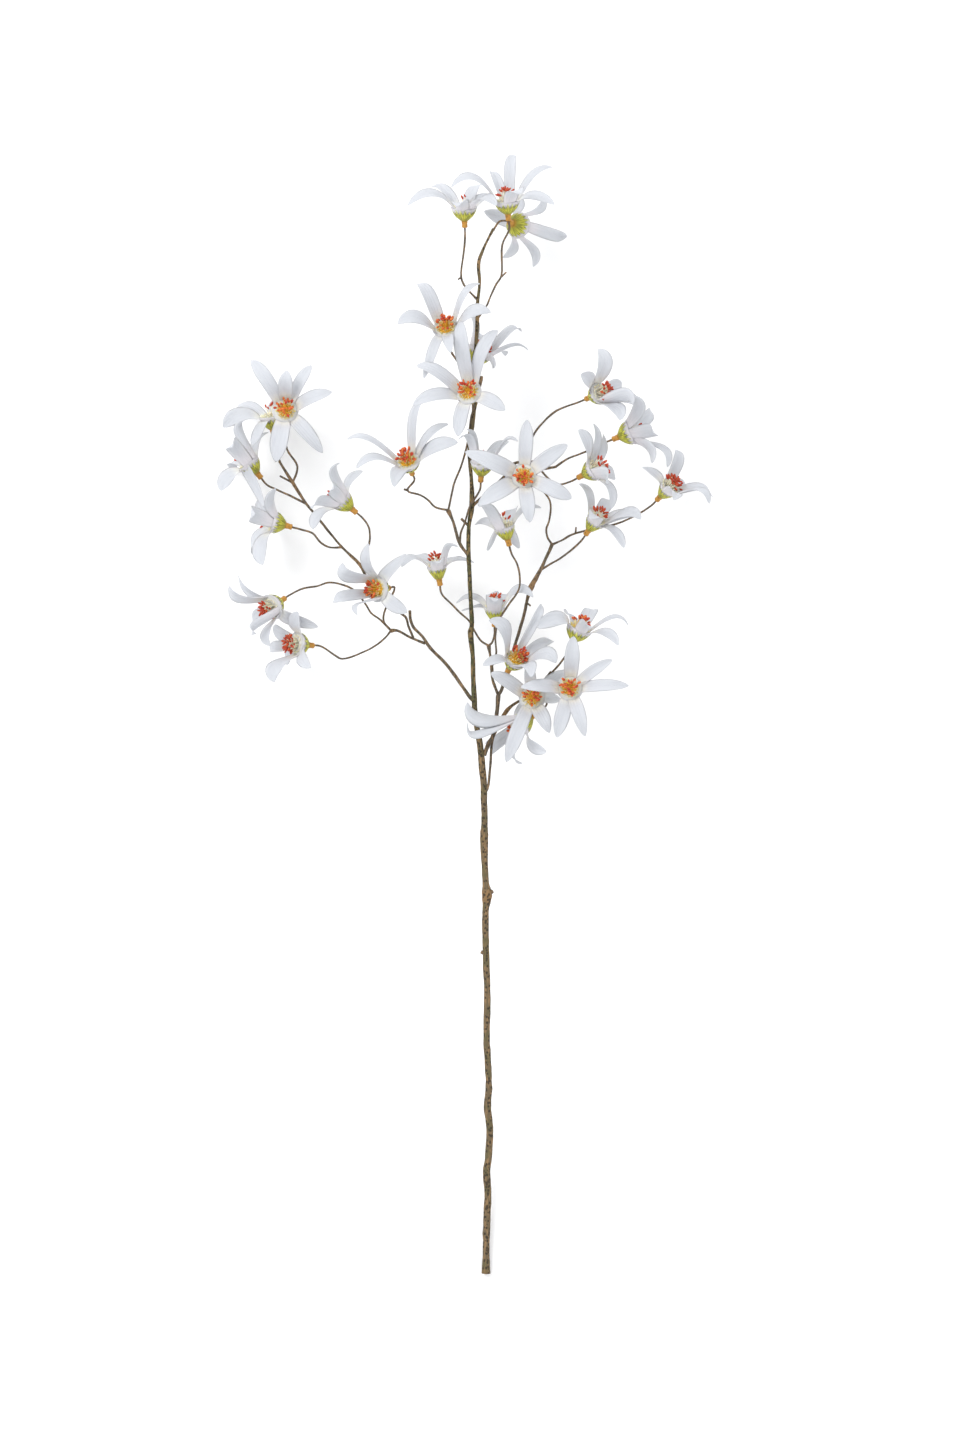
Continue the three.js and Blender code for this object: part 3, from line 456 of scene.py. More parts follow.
def tube(shape, stations, sides, steps, hue):
    """A closed limb with bark that swells and wrinkles. hue runs from 0, stem, to 1, twig."""
    places, directions = smooth_path([Vector(station[:3]) for station in stations], steps)
    radii = [station[3] for station in stations]
    plain = sorted(radii)[len(radii) // 2]
    aside = Vector((directions[0].y, -directions[0].x, 0.01))
    rings = []
    for i, (place, along) in enumerate(zip(places, directions)):
        aside = (aside - along * aside.dot(along)).normalized()
        up = aside.cross(along)
        span = min(i // steps, len(radii) - 2)
        part = (i - span * steps) / steps
        radius = mix(radii[span], radii[span + 1], ease(part))
        swell = ease((radius / plain - 1.12) / 0.5)
        ring = []
        for k in range(sides):
            turn = 2 * math.pi * k / sides
            outward = aside * math.cos(turn) + up * math.sin(turn)
            relief = (0.16 + 0.08 * hue) * noise.noise(place * 0.16 + outward * 1.4)
            relief += 0.08 * noise.noise(place * 0.45 + outward * 2.3) * (1 + 2 * swell)
            ring.append(shape.point(
                place + outward * radius * (1 + relief), hue=hue, knot=swell, height=place.y))
        rings.append(ring)
    shape.skin(rings, flipped=True)
    for ring, place, along, above in (
            (rings[0], places[0], -directions[0], True), (rings[-1], places[-1], directions[-1], False)):
        tip = shape.point(place + along * 0.25 * plain, hue=hue, knot=1, height=place.y)
        shape.close(ring, tip, above)


def twig_stations(stations, pose, radius):
    """The twig's own stations, then straight up the bloom's axis into its socket."""
    path = [Vector(station) for station in stations]
    path += [pose.centre - pose.forward * TWIG_APPROACH, pose.centre - pose.forward * TWIG_SEAT]
    path.insert(1, path[0] + (path[1] - path[0]).normalized() * TWIG_FOOT)
    widths = [TWIG_SWELL[0] * radius, TWIG_SWELL[1] * radius] + [radius] * (len(path) - 2)
    return [(*place, width) for place, width in zip(path, widths)]


def wood(twig_radius):
    shape = Shape("hue", "knot", "height")
    tube(shape, STEM, 16, 5, 0)
    for stations in BRANCHES:
        tube(shape, stations, 12, 4, 0.7)
    for stations in STUBS:
        tube(shape, stations, 10, 4, 0.8)
    for stations, pose in zip(TWIGS, POSES):
        tube(shape, twig_stations(stations, pose, twig_radius), 8, 5, 1)
    return shape


# The calyx: an amber socket and a cup of pointed green lobes.


def turned(shape, pose, profile, sides, **values):
    """A turned form along a bloom's axis. Its profile starts and ends on the axis."""
    foot = shape.point(pose.place(0, 0, profile[0][1]), **values)
    rings = [
        [shape.point(pose.place(2 * math.pi * k / sides, radius, height), **values) for k in range(sides)]
        for radius, height in profile[1:-1]]
    top = shape.point(pose.place(0, 0, profile[-1][1]), **values)
    shape.close(rings[0], foot, above=False)
    shape.skin(rings)
    shape.close(rings[-1], top)


def calyx_radius(height, flare):
    """The calyx's radius at a height: its foot fits the socket, and it flares with the bloom above."""
    for (narrow, low), (wide, high) in zip(CALYX_WALL, CALYX_WALL[1:]):
        if height <= high:
            spread = mix(1, flare, ease((height - CALYX_FOOT) / 4))
            return mix(narrow, wide, (height - low) / (high - low)) * spread
    return CALYX_WALL[-1][0] * flare


def calyx(shape, pose, luck):
    """Thin lobes that hug the cup, closed at the rim, each rounded over its own middle."""
    sides, rows = CALYX_LOBE_SIDES * CALYX_LOBES, CALYX_ROWS
    spin = luck.uniform(0, 2 * math.pi)
    reaches = [luck.uniform(-2.4, 1.0) for _ in range(CALYX_LOBES)]
    outer, inner = [[] for _ in range(rows + 1)], [[] for _ in range(rows + 1)]
    for k in range(sides):
        turn = spin + 2 * math.pi * k / sides
        lobe = k * CALYX_LOBES / sides
        across = 2 * (lobe % 1) - 1
        crown = 1 - abs(across) ** 1.1
        rim = mix(CALYX_NOTCH, CALYX_TIP + reaches[int(lobe)], crown)
        for row in range(rows + 1):
            part = row / rows
            height = mix(CALYX_FOOT, rim, part)
            bulge = CALYX_BULGE * crown * part ** 3
            radius = calyx_radius(height, pose.flare) + bulge
            marks = {"across": across, "rise": height - CALYX_FOOT, "lobe": float(int(lobe))}
            outer[row].append(shape.point(pose.place(turn, radius, height), **marks))
            thin = CALYX_THICKNESS - CALYX_EDGE * part
            marks["rise"] += 6 * part
            inner[row].append(shape.point(pose.place(turn, radius - thin, height + 0.1), **marks))
    for row in range(rows):
        shape.bridge(outer[row], outer[row + 1])
        shape.bridge(inner[row + 1], inner[row])
    shape.bridge(outer[rows], inner[rows])
    shape.bridge(inner[0], outer[0])


# The corolla: a short white cup and six petals of thin cloth.


def outline(part, belly):
    """A petal's half width along its length: narrow foot, belly, rounded point."""
    if part < belly:
        return 0.62 + 0.38 * math.sin(0.5 * math.pi * part / belly) ** 0.8
    return (1 - ((part - belly) / (1 - belly)) ** 2.1) ** 0.66


def bend(anchors, t):
    """A place and a direction on the curve that four anchors draw."""
    a, b, c, d = anchors
    s = 1 - t
    place = a * s ** 3 + b * (3 * s * s * t) + c * (3 * s * t * t) + d * t ** 3
    along = (b - a) * (s * s) + (c - b) * (2 * s * t) + (d - c) * (t * t)
    return place, along.normalized()


def petal_arc(pose, tip):
    reach, arch = Vector(tip[:3]), tip[3]
    radial = (reach - pose.forward * reach.dot(pose.forward)).normalized()
    root = pose.centre + radial * PETAL_ROOT_RADIUS * pose.flare - pose.forward * PETAL_ROOT_DEPTH
    point = pose.centre + reach
    length = (point - root).length
    rise = root + (radial * PETAL_RISE[0] + pose.forward * PETAL_RISE[1] * mix(0.5, 1, arch)) * length
    curl = point + (pose.forward * PETAL_RECURVE[1] * arch - radial * PETAL_RECURVE[0]) * length
    return (root, rise, curl, point), pose.forward.cross(radial), length


def petal(shape, pose, tip, luck, sizes):
    tip = (*tip, *PLAIN_PETAL[len(tip) - 3:])
    anchors, across, length = petal_arc(pose, tip)
    half = sizes.petal_width / MM / 2 * luck.uniform(0.95, 1.05) * tip[4]
    trough = sizes.petal_trough / MM * luck.uniform(0.6, 1.4)
    thick = sizes.petal_thickness / MM
    twist = math.radians(tip[5] + luck.choice((-1, 1)) * luck.uniform(6, 16))
    belly = luck.uniform(0.52, 0.68)
    wave, phase = luck.uniform(0.3, 0.9), luck.uniform(0, 2 * math.pi)
    skew = luck.uniform(-0.08, 0.08)
    rows = []
    for i in range(PETAL_ROWS):
        part = 1 - (1 - i / PETAL_ROWS) ** 1.3
        place, along = bend(anchors, part)
        over = along.cross(across).normalized()
        lean = twist * part
        side = across * math.cos(lean) + over * math.sin(lean)
        face = along.cross(side)
        wide = half * outline(part, belly)
        row = []
        for j in range(PETAL_COLUMNS + 1):
            v = 2 * j / PETAL_COLUMNS - 1
            body = 1 - v * v
            depth = -trough * body * (wide / half)
            depth += wave * v * v * math.sin(5.2 * part + phase + 1.3 * v) * ease(part * 2.5)
            middle = place + side * (wide * (v + skew * body)) + face * depth
            marks = {"along": part * length, "across": v * wide, "edge": abs(v)}
            if i == 0 or j in (0, PETAL_COLUMNS):
                row.append((shape.point(middle, **marks),) * 2)
            else:
                gap = face * (0.5 * thick * math.sqrt(body))
                row.append((shape.point(middle + gap, inside=1, **marks), shape.point(middle - gap, **marks)))
        rows.append(row)
    tip_mark = shape.point(anchors[3], along=length, edge=1)
    for row, following in zip(rows, rows[1:]):
        for j in range(PETAL_COLUMNS):
            for layer, order in ((0, 1), (1, -1)):
                loop = (row[j], following[j], following[j + 1], row[j + 1])
                corners = [corner[layer] for corner in loop][::order]
                shape.faces.append(tuple(corners))
    for j in range(PETAL_COLUMNS):
        for layer, order in ((0, 1), (1, -1)):
            shape.faces.append((rows[-1][j][layer], tip_mark, rows[-1][j + 1][layer])[::order])


def petal_cup(shape, pose, tips):
    """The cup's rim rises into each petal and dips between them."""
    turns = []
    for tip in tips:
        reach = Vector(tip[:3])
        turns.append(math.atan2(reach.dot(pose.upright), reach.dot(pose.aside)))
    outer, inner = [], []
    for wide, height in CUP_WALL[1:]:
        radius = wide * pose.flare
        rise = (height - CUP_WALL[1][1]) / (CUP_WALL[-1][1] - CUP_WALL[1][1])
        wall, lining = [], []
        for k in range(CUP_SIDES):
            turn = 2 * math.pi * k / CUP_SIDES
            near = max(math.cos(turn - other) for other in turns)
            dip = CUP_DIP * (1 - ease((near - 0.72) / 0.26)) * rise
            marks = {"along": height - CUP_WALL[1][1], "across": radius * turn}
            wall.append(shape.point(pose.place(turn, radius - 0.3 * dip, height - dip), **marks))
            # The lining's marks bring it under the cream painted light inside the cup.
            marks = {"along": mix(5, 14, rise), "across": radius * turn, "inside": 1}
            floor = height - dip + THROAT_LIFT * (1 - rise)
            lining.append(shape.point(
                pose.place(turn, radius - CUP_THICKNESS - 0.3 * dip, floor), **marks))
        outer.append(wall)
        inner.append(lining)
    shape.skin(outer)
    shape.skin(inner, flipped=True)
    shape.bridge(outer[-1], inner[-1])
    shape.close(outer[0], shape.point(pose.place(0, 0, CUP_WALL[0][1])), above=False)
    shape.close(inner[0], shape.point(pose.place(0, 0, CUP_WALL[0][1] + THROAT_LIFT), inside=1))


# The stamens: a bumpy golden heart, thin filaments that fan out of it, and a red head on each.


def filament(shape, pose, luck, sizes, index, heads, deep):
    """One filament on the heart, bare or with a head, in a spiral from the middle outward."""
    turn = index * math.radians(GOLDEN_ANGLE) + luck.uniform(-0.2, 0.2)
    ring = math.sqrt((index + 0.6) / FILAMENTS)
    foot = pose.place(turn, FILAMENT_ROOT * ring, FILAMENT_FOOT)
    spread = FILAMENT_SPREAD * ring * luck.uniform(0.85, 1.1)
    headed = luck.random() < heads / FILAMENTS
    lift = luck.uniform(*HEAD_LIFT) if headed else luck.uniform(*BARE_LIFT) - SUNK * deep
    top = pose.place(turn + luck.uniform(-0.25, 0.25), spread, lift - FILAMENT_DOME * ring * ring)
    kind = OUTER_KIND if deep else mix(INNER_KIND, OUTER_KIND, ring)
    along = hair(shape, pose, foot, top, 1.5 * ring, sizes.filament_radius / MM, kind)
    if not headed:
        return
    long = 0.5 * sizes.head_length / MM * luck.uniform(0.8, 1.2)
    tilt = along * luck.uniform(0.5, 1) + pose.out(turn + luck.uniform(-0.9, 0.9)) * luck.uniform(0.3, 1)
    anther(shape, top + along * 0.3, tilt.normalized(), long * (DEEP_HEAD_LENGTH if deep else 1), deep)


def fringe(shape, pose, luck, sizes, index):
    """One short pale hair in the ring round the heart."""
    turn = math.tau * index / FRINGE + luck.uniform(-0.1, 0.1)
    foot = pose.place(turn, FRINGE_RADIUS, FRINGE_FOOT)
    lean = turn + luck.uniform(-0.15, 0.15)
    top = pose.place(lean, luck.uniform(*FRINGE_SPREAD), luck.uniform(*FRINGE_TOP))
    hair(shape, pose, foot, top, 0.6, sizes.filament_radius / MM, FRINGE_KIND)


def hair(shape, pose, foot, top, bow, radius, kind):
    """A thin round thread that bows forward between two places. Gives its direction at the top."""
    middle = foot.lerp(top, 0.5) + pose.forward * bow
    rings = []
    for i in range(4):
        t = i / 3
        place = foot * (1 - t) ** 2 + middle * (2 * t * (1 - t)) + top * t ** 2
        wide = radius * (1.25 - 0.35 * t)
        along = ((middle - foot) * (1 - t) + (top - middle) * t).normalized()
        side = along.orthogonal().normalized()
        over = along.cross(side)
        rings.append([shape.point(
            place + (side * math.cos(k * math.tau / 5) + over * math.sin(k * math.tau / 5)) * wide,
            kind=kind) for k in range(5)])
    shape.skin(rings)
    shape.close(rings[0], shape.point(foot, kind=kind), above=False)
    shape.close(rings[-1], shape.point(top, kind=kind))
    return along


def anther(shape, centre, axis, long, deep):
    """A head: a plump grain with a groove down its length."""
    side = axis.orthogonal().normalized()
    over = axis.cross(side)
    rings = []
    for step in range(1, 5):
        angle = math.pi * step / 5
        ring = []
        for k in range(8):
            turn = k * math.tau / 8
            groove = 0.82 if k % 4 == 0 else 1
            wide = mix(HEAD_WIDTH, DEEP_HEAD_WIDTH, deep) * long * math.sin(angle) * groove
            outward = side * math.cos(turn) + over * math.sin(turn)
            ring.append(shape.point(
                centre - axis * long * math.cos(angle) + outward * wide,
                kind=HEAD_KIND, tone=math.sin(angle)))
        rings.append(ring)
    shape.skin(rings)
    shape.close(rings[0], shape.point(centre - axis * long, kind=HEAD_KIND), above=False)
    shape.close(rings[-1], shape.point(centre + axis * long, kind=HEAD_KIND))


def heart(shape, pose, deep):
    """The bumpy dome that the filaments stand on."""
    first = len(shape.points)
    turned(shape, pose, HEART_PROFILE, HEART_SIDES, kind=HEART_KIND)
    for i in range(first, len(shape.points)):
        place = shape.points[i]
        away = (place - pose.centre + pose.forward * 3).normalized()
        bump = away * HEART_ROUGHNESS * noise.noise(place * 0.9)
        shape.points[i] = place + bump - pose.forward * SUNK * deep


# Materials.


class Signal:
    """A shader socket that can stand in a Python expression, which adds its Math nodes."""

    def __init__(self, finish, socket):
        self.finish = finish
        self.socket = socket

    def __add__(self, other):
        return self.finish.calculate("ADD", self, other)

    __radd__ = __add__

    def __sub__(self, other):
        return self.finish.calculate("SUBTRACT", self, other)

    def __rsub__(self, other):
        return self.finish.calculate("SUBTRACT", other, self)

    def __mul__(self, other):
        return self.finish.calculate("MULTIPLY", self, other)

    __rmul__ = __mul__

    def __abs__(self):
        return self.finish.calculate("ABSOLUTE", self)

    def wave(self, pitch):
        """A sine with the given pitch."""
        return self.finish.calculate("SINE", self * (math.tau / pitch))

    def within(self, low, high):
        """0 below the one bound, 1 above the other, and smooth between them."""
        return self.finish.node(
            "ShaderNodeMapRange", {"interpolation_type": "SMOOTHSTEP"},
            {"Value": self, "From Min": low, "From Max": high})


class Finish:
    """A material with one Principled surface and the nodes that feed it."""

    def __init__(self, name, **constants):
        self.material = bpy.data.materials.new(name)
        self.material.use_nodes = True
        self.tree = self.material.node_tree
        self.surface = self.tree.nodes["Principled BSDF"]
        for socket, value in constants.items():
            self.surface.inputs[socket.replace("_", " ")].default_value = value

    def plug(self, entry, value):
        if isinstance(value, Signal):
            self.tree.links.new(value.socket, entry)
        elif getattr(entry, "type", "") == "RGBA":
            entry.default_value = (*value, 1)
        else:
            entry.default_value = value

    def node(self, kind, settings=None, sockets=None, output=0):
        """Adds a node of any kind: its settings first, then the values or links of its sockets."""
        made = self.tree.nodes.new(kind)
        for label, value in (settings or {}).items():
            setattr(made, label, value)
        for label, value in (sockets or {}).items():
            self.plug(made.inputs[label], value)
        return Signal(self, made.outputs[output])

    def calculate(self, operation, *terms):
        return self.node("ShaderNodeMath", {"operation": operation}, dict(enumerate(terms)))

    def mark(self, name):
        """The number that the mesh holds under this name."""
        return self.node("ShaderNodeAttribute", {"attribute_name": name}, output="Fac")

    def where(self, stretch=(1, 1, 1)):
        """The place on the object, in millimetres, stretched along its axes."""
        spot = self.node("ShaderNodeTexCoord", output="Object")
        scale = tuple(part / MM for part in stretch)
        return self.node("ShaderNodeVectorMath", {"operation": "MULTIPLY"}, {0: spot, 1: scale})

    def spot(self, x, y, z=0.0):
        return self.node("ShaderNodeCombineXYZ", sockets={"X": x, "Y": y, "Z": z})

    def grain(self, spot, pitch, detail=2.0):
        """Soft noise from 0 to 1 with features of about the given pitch."""
        return self.node(
            "ShaderNodeTexNoise", sockets={"Vector": spot, "Scale": 1 / pitch, "Detail": detail})

    def blend(self, part, first, second):
        """A colour between two others."""
        return self.node(
            "ShaderNodeMix", {"data_type": "RGBA"}, {0: part, 6: first, 7: second}, output=2)

    def relief(self, height, strength, depth):
        return self.node(
            "ShaderNodeBump", sockets={"Height": height, "Strength": strength, "Distance": depth * MM})

    def feed(self, **signals):
        for socket, signal in signals.items():
            self.plug(self.surface.inputs[socket.replace("_", " ")], signal)
        return self.material


def bark_finish(colours):
    """Olive bark below, darker and greener above, flecked, with rusty joints."""
    finish = Finish("bark", Roughness=0.75, Specular_IOR_Level=0.3)
    hue, knot, height = finish.mark("hue"), finish.mark("knot"), finish.mark("height")
    long_grain = finish.grain(finish.where((1, 0.12, 1)), 1.3, 4.0)
    blotch = finish.grain(finish.where(), 14, 3.0)
    cells = finish.node(
        "ShaderNodeTexVoronoi", sockets={"Vector": finish.where((1, 0.8, 1)), "Scale": 0.40})
    flecks = cells.within(0.45, 0.34)
    level = height + (blotch - 0.5) * 90
    green = level.within(-70, 60) * (1 - level.within(160, 230) * 0.75)
    base = finish.blend(green, colours.stem, colours.upper_stem)
    base = finish.blend(hue.within(0.2, 0.8), base, colours.twig)
    light = tuple(min(1.0, part * 1.7) for part in colours.knot)
    moss, dark = (0.085, 0.084, 0.034), (0.030, 0.022, 0.014)
    base = finish.blend(long_grain.within(0.46, 0.66) * 0.45, base, light)
    base = finish.blend(blotch.within(0.52, 0.60) * 0.5 * (1 - hue), base, moss)
    base = finish.blend(knot.within(0.1, 0.9) * (0.45 + 0.5 * blotch), base, colours.knot)
    base = finish.blend(flecks * (0.85 - 0.45 * hue), base, dark)
    relief = finish.relief(long_grain * 0.9 - flecks * 0.4 + 0.4 * blotch, 0.8, 0.5)
    return finish.feed(Base_Color=base, Normal=relief, Roughness=0.62 + 0.3 * long_grain)


def socket_finish(colours):
    """Waxy amber, darker in patches."""
    finish = Finish("socket_amber", Specular_IOR_Level=0.45, Subsurface_Weight=0.08, Subsurface_Scale=0.002)
    patch = finish.grain(finish.where(), 2.2, 3.0)
    deep = tuple(part * 0.35 for part in colours.socket)
    base = finish.blend(patch.within(0.5, 0.72) * 0.8, colours.socket, deep)
    relief = finish.relief(patch, 0.4, 0.3)
    return finish.feed(Base_Color=base, Normal=relief, Roughness=0.38 + 0.3 * patch)


def calyx_finish(colours):
    """Yellow green that pales at the tips, with olive streaks that run up each lobe."""
    finish = Finish("calyx_green", Specular_IOR_Level=0.35, Subsurface_Weight=0.06, Subsurface_Scale=0.0015)
    across, rise, lobe = finish.mark("across"), finish.mark("rise"), finish.mark("lobe")
    lines = finish.grain(finish.spot(across * 2.6 + lobe * 7.3, rise * 0.16, lobe), 1.0, 3.0)
    mottle = finish.grain(finish.where(), 1.6, 2.0)
    streak = lines.within(0.46, 0.56) * (1 - rise.within(7.0, 12.0) * 0.55)
    pale, shaded = (0.66, 0.68, 0.46), (0.20, 0.19, 0.018)
    base = finish.blend(rise.within(6.0, 11.5) * 0.85, colours.calyx, pale)
    base = finish.blend(streak * 0.85, base, colours.streak)
    base = finish.blend(rise.within(5.5, 1.0) * 0.5, base, shaded)
    base = finish.blend(rise.within(2.0, 0.4) * 0.6, base, colours.socket)
    relief = finish.relief(lines + 0.5 * mottle - abs(across).within(0.7, 1.0) * 0.6, 0.6, 0.35)
    return finish.feed(Base_Color=base, Normal=relief, Roughness=0.42 + 0.25 * mottle)


def petal_finish(colours):
    """Thin white cloth: a fine weave, soft ribs, painted shade in its creases, and painted light that lifts
    its faint pink foot and a cream inside the cup.
    """
    finish = Finish(
        "petal_cloth", Specular_IOR_Level=0.25, Sheen_Weight=0.15, Sheen_Roughness=0.5,
        Subsurface_Weight=0.3, Subsurface_Scale=0.002, Subsurface_Radius=(1, 1, 1))
    along, across, edge = finish.mark("along"), finish.mark("across"), finish.mark("edge")
    inside = finish.mark("inside")
    weave = along.wave(0.8) * across.wave(0.8)
    ribs = (across + 0.4 * finish.grain(finish.spot(across * 0.3, along * 0.05), 1.0)).wave(2.3)
    cloud = finish.grain(finish.where(), 9, 3.0)
    crease = finish.grain(finish.spot(across * 0.8, along * 0.10), 1.6, 3.0)
    # Painted shade: the cloth white turns a cooler grey along the lengthwise creases, as if the folds lay in
    # shade.
    shade = tuple(part * tint for part, tint in zip(colours.petal, (0.86, 0.86, 0.90)))
    base = finish.blend(crease.within(0.45, 0.75) * 0.45, colours.petal, shade)
    base = finish.blend(cloud.within(0.4, 0.7) * 0.3, base, colours.petal)
    # Faint pink on the petals' outer foot and the cup's outer wall, painted lighter than the cloth: painted
    # light that lifts the shade there.
    base = finish.blend(along.within(22, 5) * (1 - inside) * 0.8, base, colours.blush_and_painted_light)
    # Painted light: the inside of the cup and the petals' inner foot take a light cream, to cancel the shade
    # deep in the cup.
    base = finish.blend(along.within(16, 6) * inside * 0.9, base, colours.throat_and_painted_light)
    height = 0.22 * weave + 0.35 * ribs + 0.9 * crease + 0.8 * cloud + 0.3 * edge.within(0.9, 1.0)
    relief = finish.relief(height, 0.55, 0.35)
    return finish.feed(Base_Color=base, Normal=relief, Roughness=0.62 + 0.2 * crease)


def stamen_finish(colours):
    """A golden heart, cream filaments and heads from orange to dark red. A ripe bloom's heart is pale."""
    finish = Finish("stamen_gold", Specular_IOR_Level=0.4, Subsurface_Weight=0.08, Subsurface_Scale=0.001)
    kind, tone, ripe = finish.mark("kind"), finish.mark("tone"), finish.mark("ripe")
    speck = finish.grain(finish.where(), 0.9, 2.0)
    batch = finish.grain(finish.where(), 3.5, 1.0)
    deep_gold = tuple(part * 0.45 for part in colours.heart)
    gold = finish.blend(speck.within(0.45, 0.65) * 0.8, colours.heart, deep_gold)
    orange, wine = (0.66, 0.17, 0.03), (0.16, 0.016, 0.008)
    red = finish.blend(batch.within(0.38, 0.60), orange, colours.head)
    red = finish.blend(ripe * 0.7, red, colours.head)
    red = finish.blend(speck.within(0.52, 0.72) * 0.6, red, wine)
    pale, cream = (0.74, 0.62, 0.20), (0.84, 0.82, 0.68)
    base = finish.blend(kind.within(0.1, 0.2), gold, pale)
    base = finish.blend(kind.within(0.35, 0.45), base, colours.filament)
    base = finish.blend(kind.within(0.48, 0.57), base, colours.heart)
    base = finish.blend(ripe * 0.75, base, cream)
    base = finish.blend(kind.within(0.70, 0.95), base, red)
    relief = finish.relief(speck + 0.4 * tone, 0.7, 0.3)
    return finish.feed(Base_Color=base, Normal=relief, Roughness=0.45 + 0.3 * speck)


def floor_finish():
    finish = Finish("pale_table", Roughness=0.9, Specular_IOR_Level=0.1)
    mottle = finish.grain(finish.where(), 260, 2.0)
    base = finish.blend(mottle * 0.5, (0.96, 0.96, 0.96), (0.98, 0.98, 0.98))
    return finish.feed(Base_Color=base)


# The operators, one for each piece or group of like pieces, and one for the stage.


class CLEMATIS_OT_bark(bpy.types.Operator):
    """Make the stem, its branches, cut stubs and twigs"""

    bl_idname = "clematis.bark"
    bl_label = "Stem and twigs"

    def execute(self, context):
        scene = context.scene
        shape = wood(scene.clematis_sizes.twig_radius / MM)
        shape.make("bark", bark_finish(scene.clematis_colours), "bark", "woody_stem")
        return {"FINISHED"}


class CLEMATIS_OT_calyces(bpy.types.Operator):
    """Make the amber sockets and the green calyces under the blooms"""

    bl_idname = "clematis.calyces"
    bl_label = "Sockets and calyces"

    def execute(self, context):
        colours = context.scene.clematis_colours
        sockets, lobes = Shape(), Shape("across", "rise", "lobe")
        for number, pose in enumerate(POSES, 1):
            turned(sockets, pose, SOCKET_PROFILE, SOCKET_SIDES)
            calyx(lobes, pose, random.Random(SEED * 100 + number))
        sockets.make("sockets", socket_finish(colours), "bark", "woody_stem")
        lobes.make("calyces", calyx_finish(colours), "bark", "woody_stem")
        return {"FINISHED"}


class CLEMATIS_OT_petals(bpy.types.Operator):
    """Make each bloom's white cup and its six petals"""

    bl_idname = "clematis.petals"
    bl_label = "Petals"

    def execute(self, context):
        scene = context.scene
        cloth = petal_finish(scene.clematis_colours)
        for number, (pose, bloom) in enumerate(zip(POSES, BLOOMS), 1):
            luck = random.Random(SEED * 1000 + number)
            shape = Shape("along", "across", "edge", "inside")
            petal_cup(shape, pose, bloom[3])
            for tip in bloom[3]:
                petal(shape, pose, tip, luck, scene.clematis_sizes)
            node = "petals_24_25" if number in (24, 25) else f"petals_{number:02d}"
            shape.make(f"bloom_{number:02d}_petals", cloth, "petal", node)
        return {"FINISHED"}


class CLEMATIS_OT_stamens(bpy.types.Operator):
    """Make each bloom's golden heart, filaments and red heads"""

    bl_idname = "clematis.stamens"
    bl_label = "Stamens"

    def execute(self, context):
        scene = context.scene
        gold = stamen_finish(scene.clematis_colours)
        for number, pose in enumerate(POSES, 1):
            luck = random.Random(SEED * 10000 + number)
            shape = Shape("kind", "tone", "ripe")
            deep = number in DEEP_HEARTS
            heads = DEEP_HEARTS.get(number, HEADS)
            heart(shape, pose, deep)
            for index in range(FILAMENTS):
                filament(shape, pose, luck, scene.clematis_sizes, index, heads, deep)
            for index in range(FRINGE):
                fringe(shape, pose, luck, scene.clematis_sizes, index)
            shape.values["ripe"] = [float(deep)] * len(shape.points)
            shape.make(f"bloom_{number:02d}_stamens", gold, "stamen", f"stamens_{number:02d}")
        return {"FINISHED"}


# The camera looks straight down on the sprig from far off, as the photograph shows it upright.

CAMERA_PLACE = (0.0119, 0.0004, 10.22)
CAMERA_LENS = 300
CAMERA_SENSOR = 36
CAMERA_REACH = 100
TABLE_SIZE = 8.0

# The lights, as (name, place, width, power).

LIGHTS = [("window", (-2.2, 2.4, 3.6), 2.6, 130), ("fill", (2.6, -1.6, 3.2), 3.0, 26)]
SKY_COLOUR = (0.97, 0.98, 1, 1)
SKY_STRENGTH = 1.06


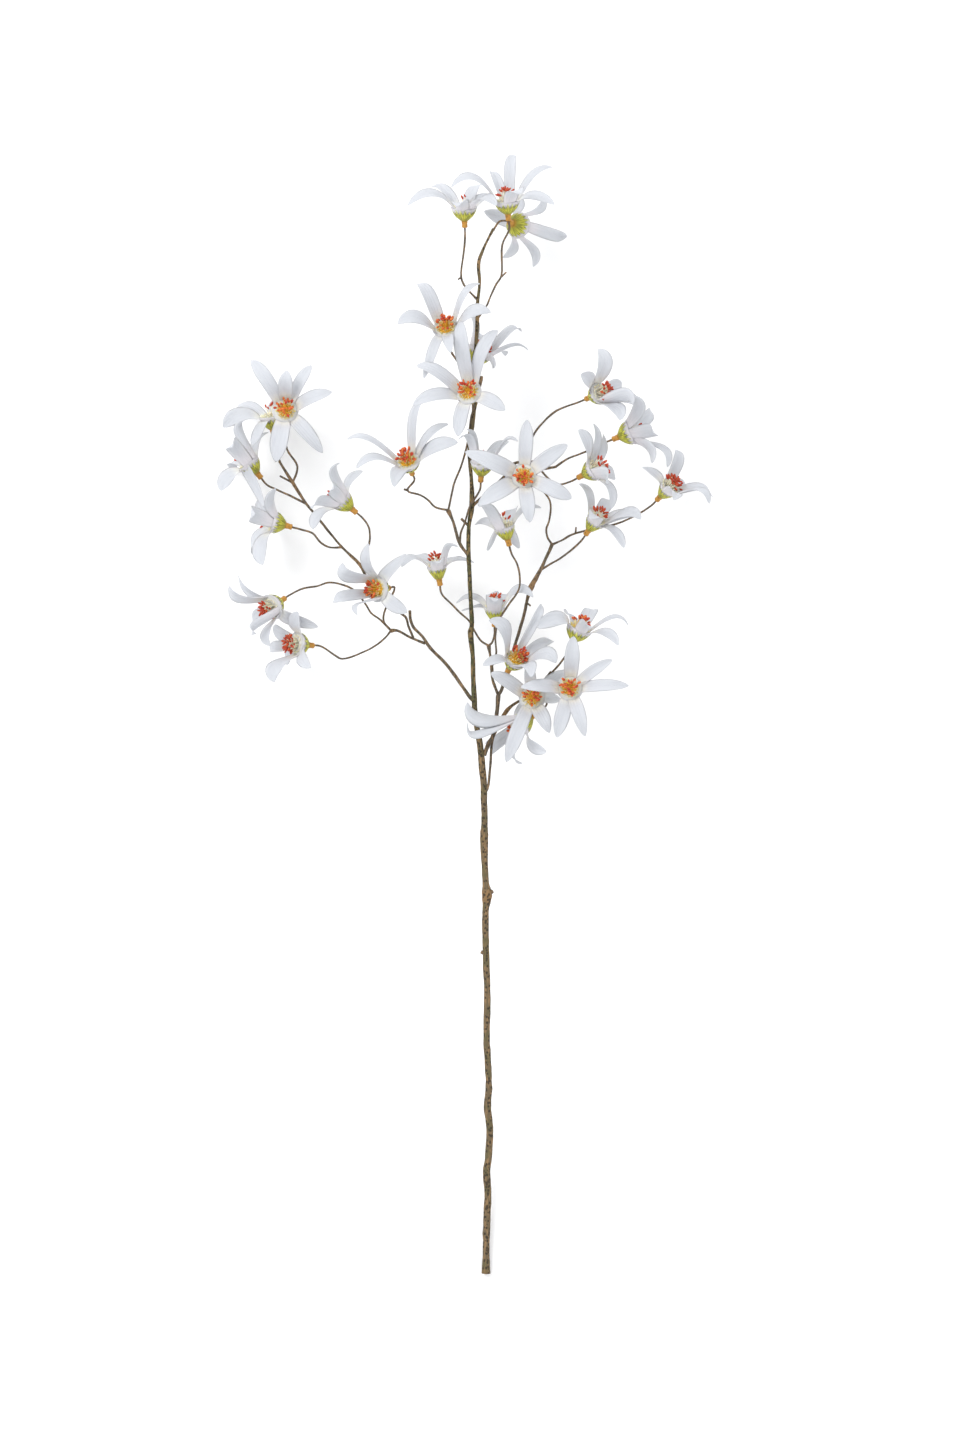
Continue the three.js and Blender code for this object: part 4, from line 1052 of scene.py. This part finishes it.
class CLEMATIS_OT_stage(bpy.types.Operator):
    """Make the pale table, the soft studio light and the camera above the sprig"""

    bl_idname = "clematis.stage"
    bl_label = "Table, light and camera"

    def execute(self, context):
        scene = context.scene
        half = TABLE_SIZE / 2
        mesh = bpy.data.meshes.new("pale_table")
        mesh.from_pydata([(-half, -half, 0), (half, -half, 0), (half, half, 0), (-half, half, 0)],
                         [], [(0, 1, 2, 3)])
        mesh.materials.append(floor_finish())
        table = bpy.data.objects.new("pale_table", mesh)
        scene.collection.objects.link(table)
        for lamp in LIGHTS:
            self.light(scene, *lamp)
        sky = bpy.data.worlds.new("sky")
        sky.use_nodes = True
        glow = sky.node_tree.nodes["Background"]
        glow.inputs["Color"].default_value = SKY_COLOUR
        glow.inputs["Strength"].default_value = SKY_STRENGTH
        scene.world = sky
        scene.view_settings.view_transform = "Standard"
        camera = bpy.data.cameras.new("camera")
        camera.lens = CAMERA_LENS
        camera.sensor_width = CAMERA_SENSOR
        camera.clip_end = CAMERA_REACH
        holder = bpy.data.objects.new("camera", camera)
        holder.location = CAMERA_PLACE
        scene.collection.objects.link(holder)
        scene.camera = holder
        return {"FINISHED"}

    def light(self, scene, name, place, size, power):
        """A large soft square light that looks at the sprig."""
        lamp = bpy.data.lights.new(name, "AREA")
        lamp.size = size
        lamp.energy = power
        holder = bpy.data.objects.new(name, lamp)
        holder.location = place
        holder.rotation_euler = Vector(place).to_track_quat("Z", "Y").to_euler()
        scene.collection.objects.link(holder)


OPERATORS = (
    CLEMATIS_OT_bark, CLEMATIS_OT_calyces, CLEMATIS_OT_petals, CLEMATIS_OT_stamens, CLEMATIS_OT_stage)


class CLEMATIS_PT_sprig(bpy.types.Panel):
    """Lists the pieces of the sprig with their sizes and colours"""

    bl_label = "Clematis sprig"
    bl_space_type = "VIEW_3D"
    bl_region_type = "UI"
    bl_category = "Clematis"

    def draw(self, context):
        for group in (context.scene.clematis_sizes, context.scene.clematis_colours):
            column = self.layout.column(align=True)
            for name in group.__annotations__:
                column.prop(group, name)
        column = self.layout.column(align=True)
        for operator in OPERATORS:
            column.operator(operator.bl_idname)


CLASSES = (SprigSizes, SprigColours, *OPERATORS, CLEMATIS_PT_sprig)


def register():
    for item in CLASSES:
        bpy.utils.register_class(item)
    bpy.types.Scene.clematis_sizes = bpy.props.PointerProperty(type=SprigSizes)
    bpy.types.Scene.clematis_colours = bpy.props.PointerProperty(type=SprigColours)


def unregister():
    del bpy.types.Scene.clematis_sizes
    del bpy.types.Scene.clematis_colours
    for item in reversed(CLASSES):
        bpy.utils.unregister_class(item)


def main():
    register()
    bpy.ops.clematis.bark()
    bpy.ops.clematis.calyces()
    bpy.ops.clematis.petals()
    bpy.ops.clematis.stamens()
    bpy.ops.clematis.stage()


if __name__ == "__main__":
    main()
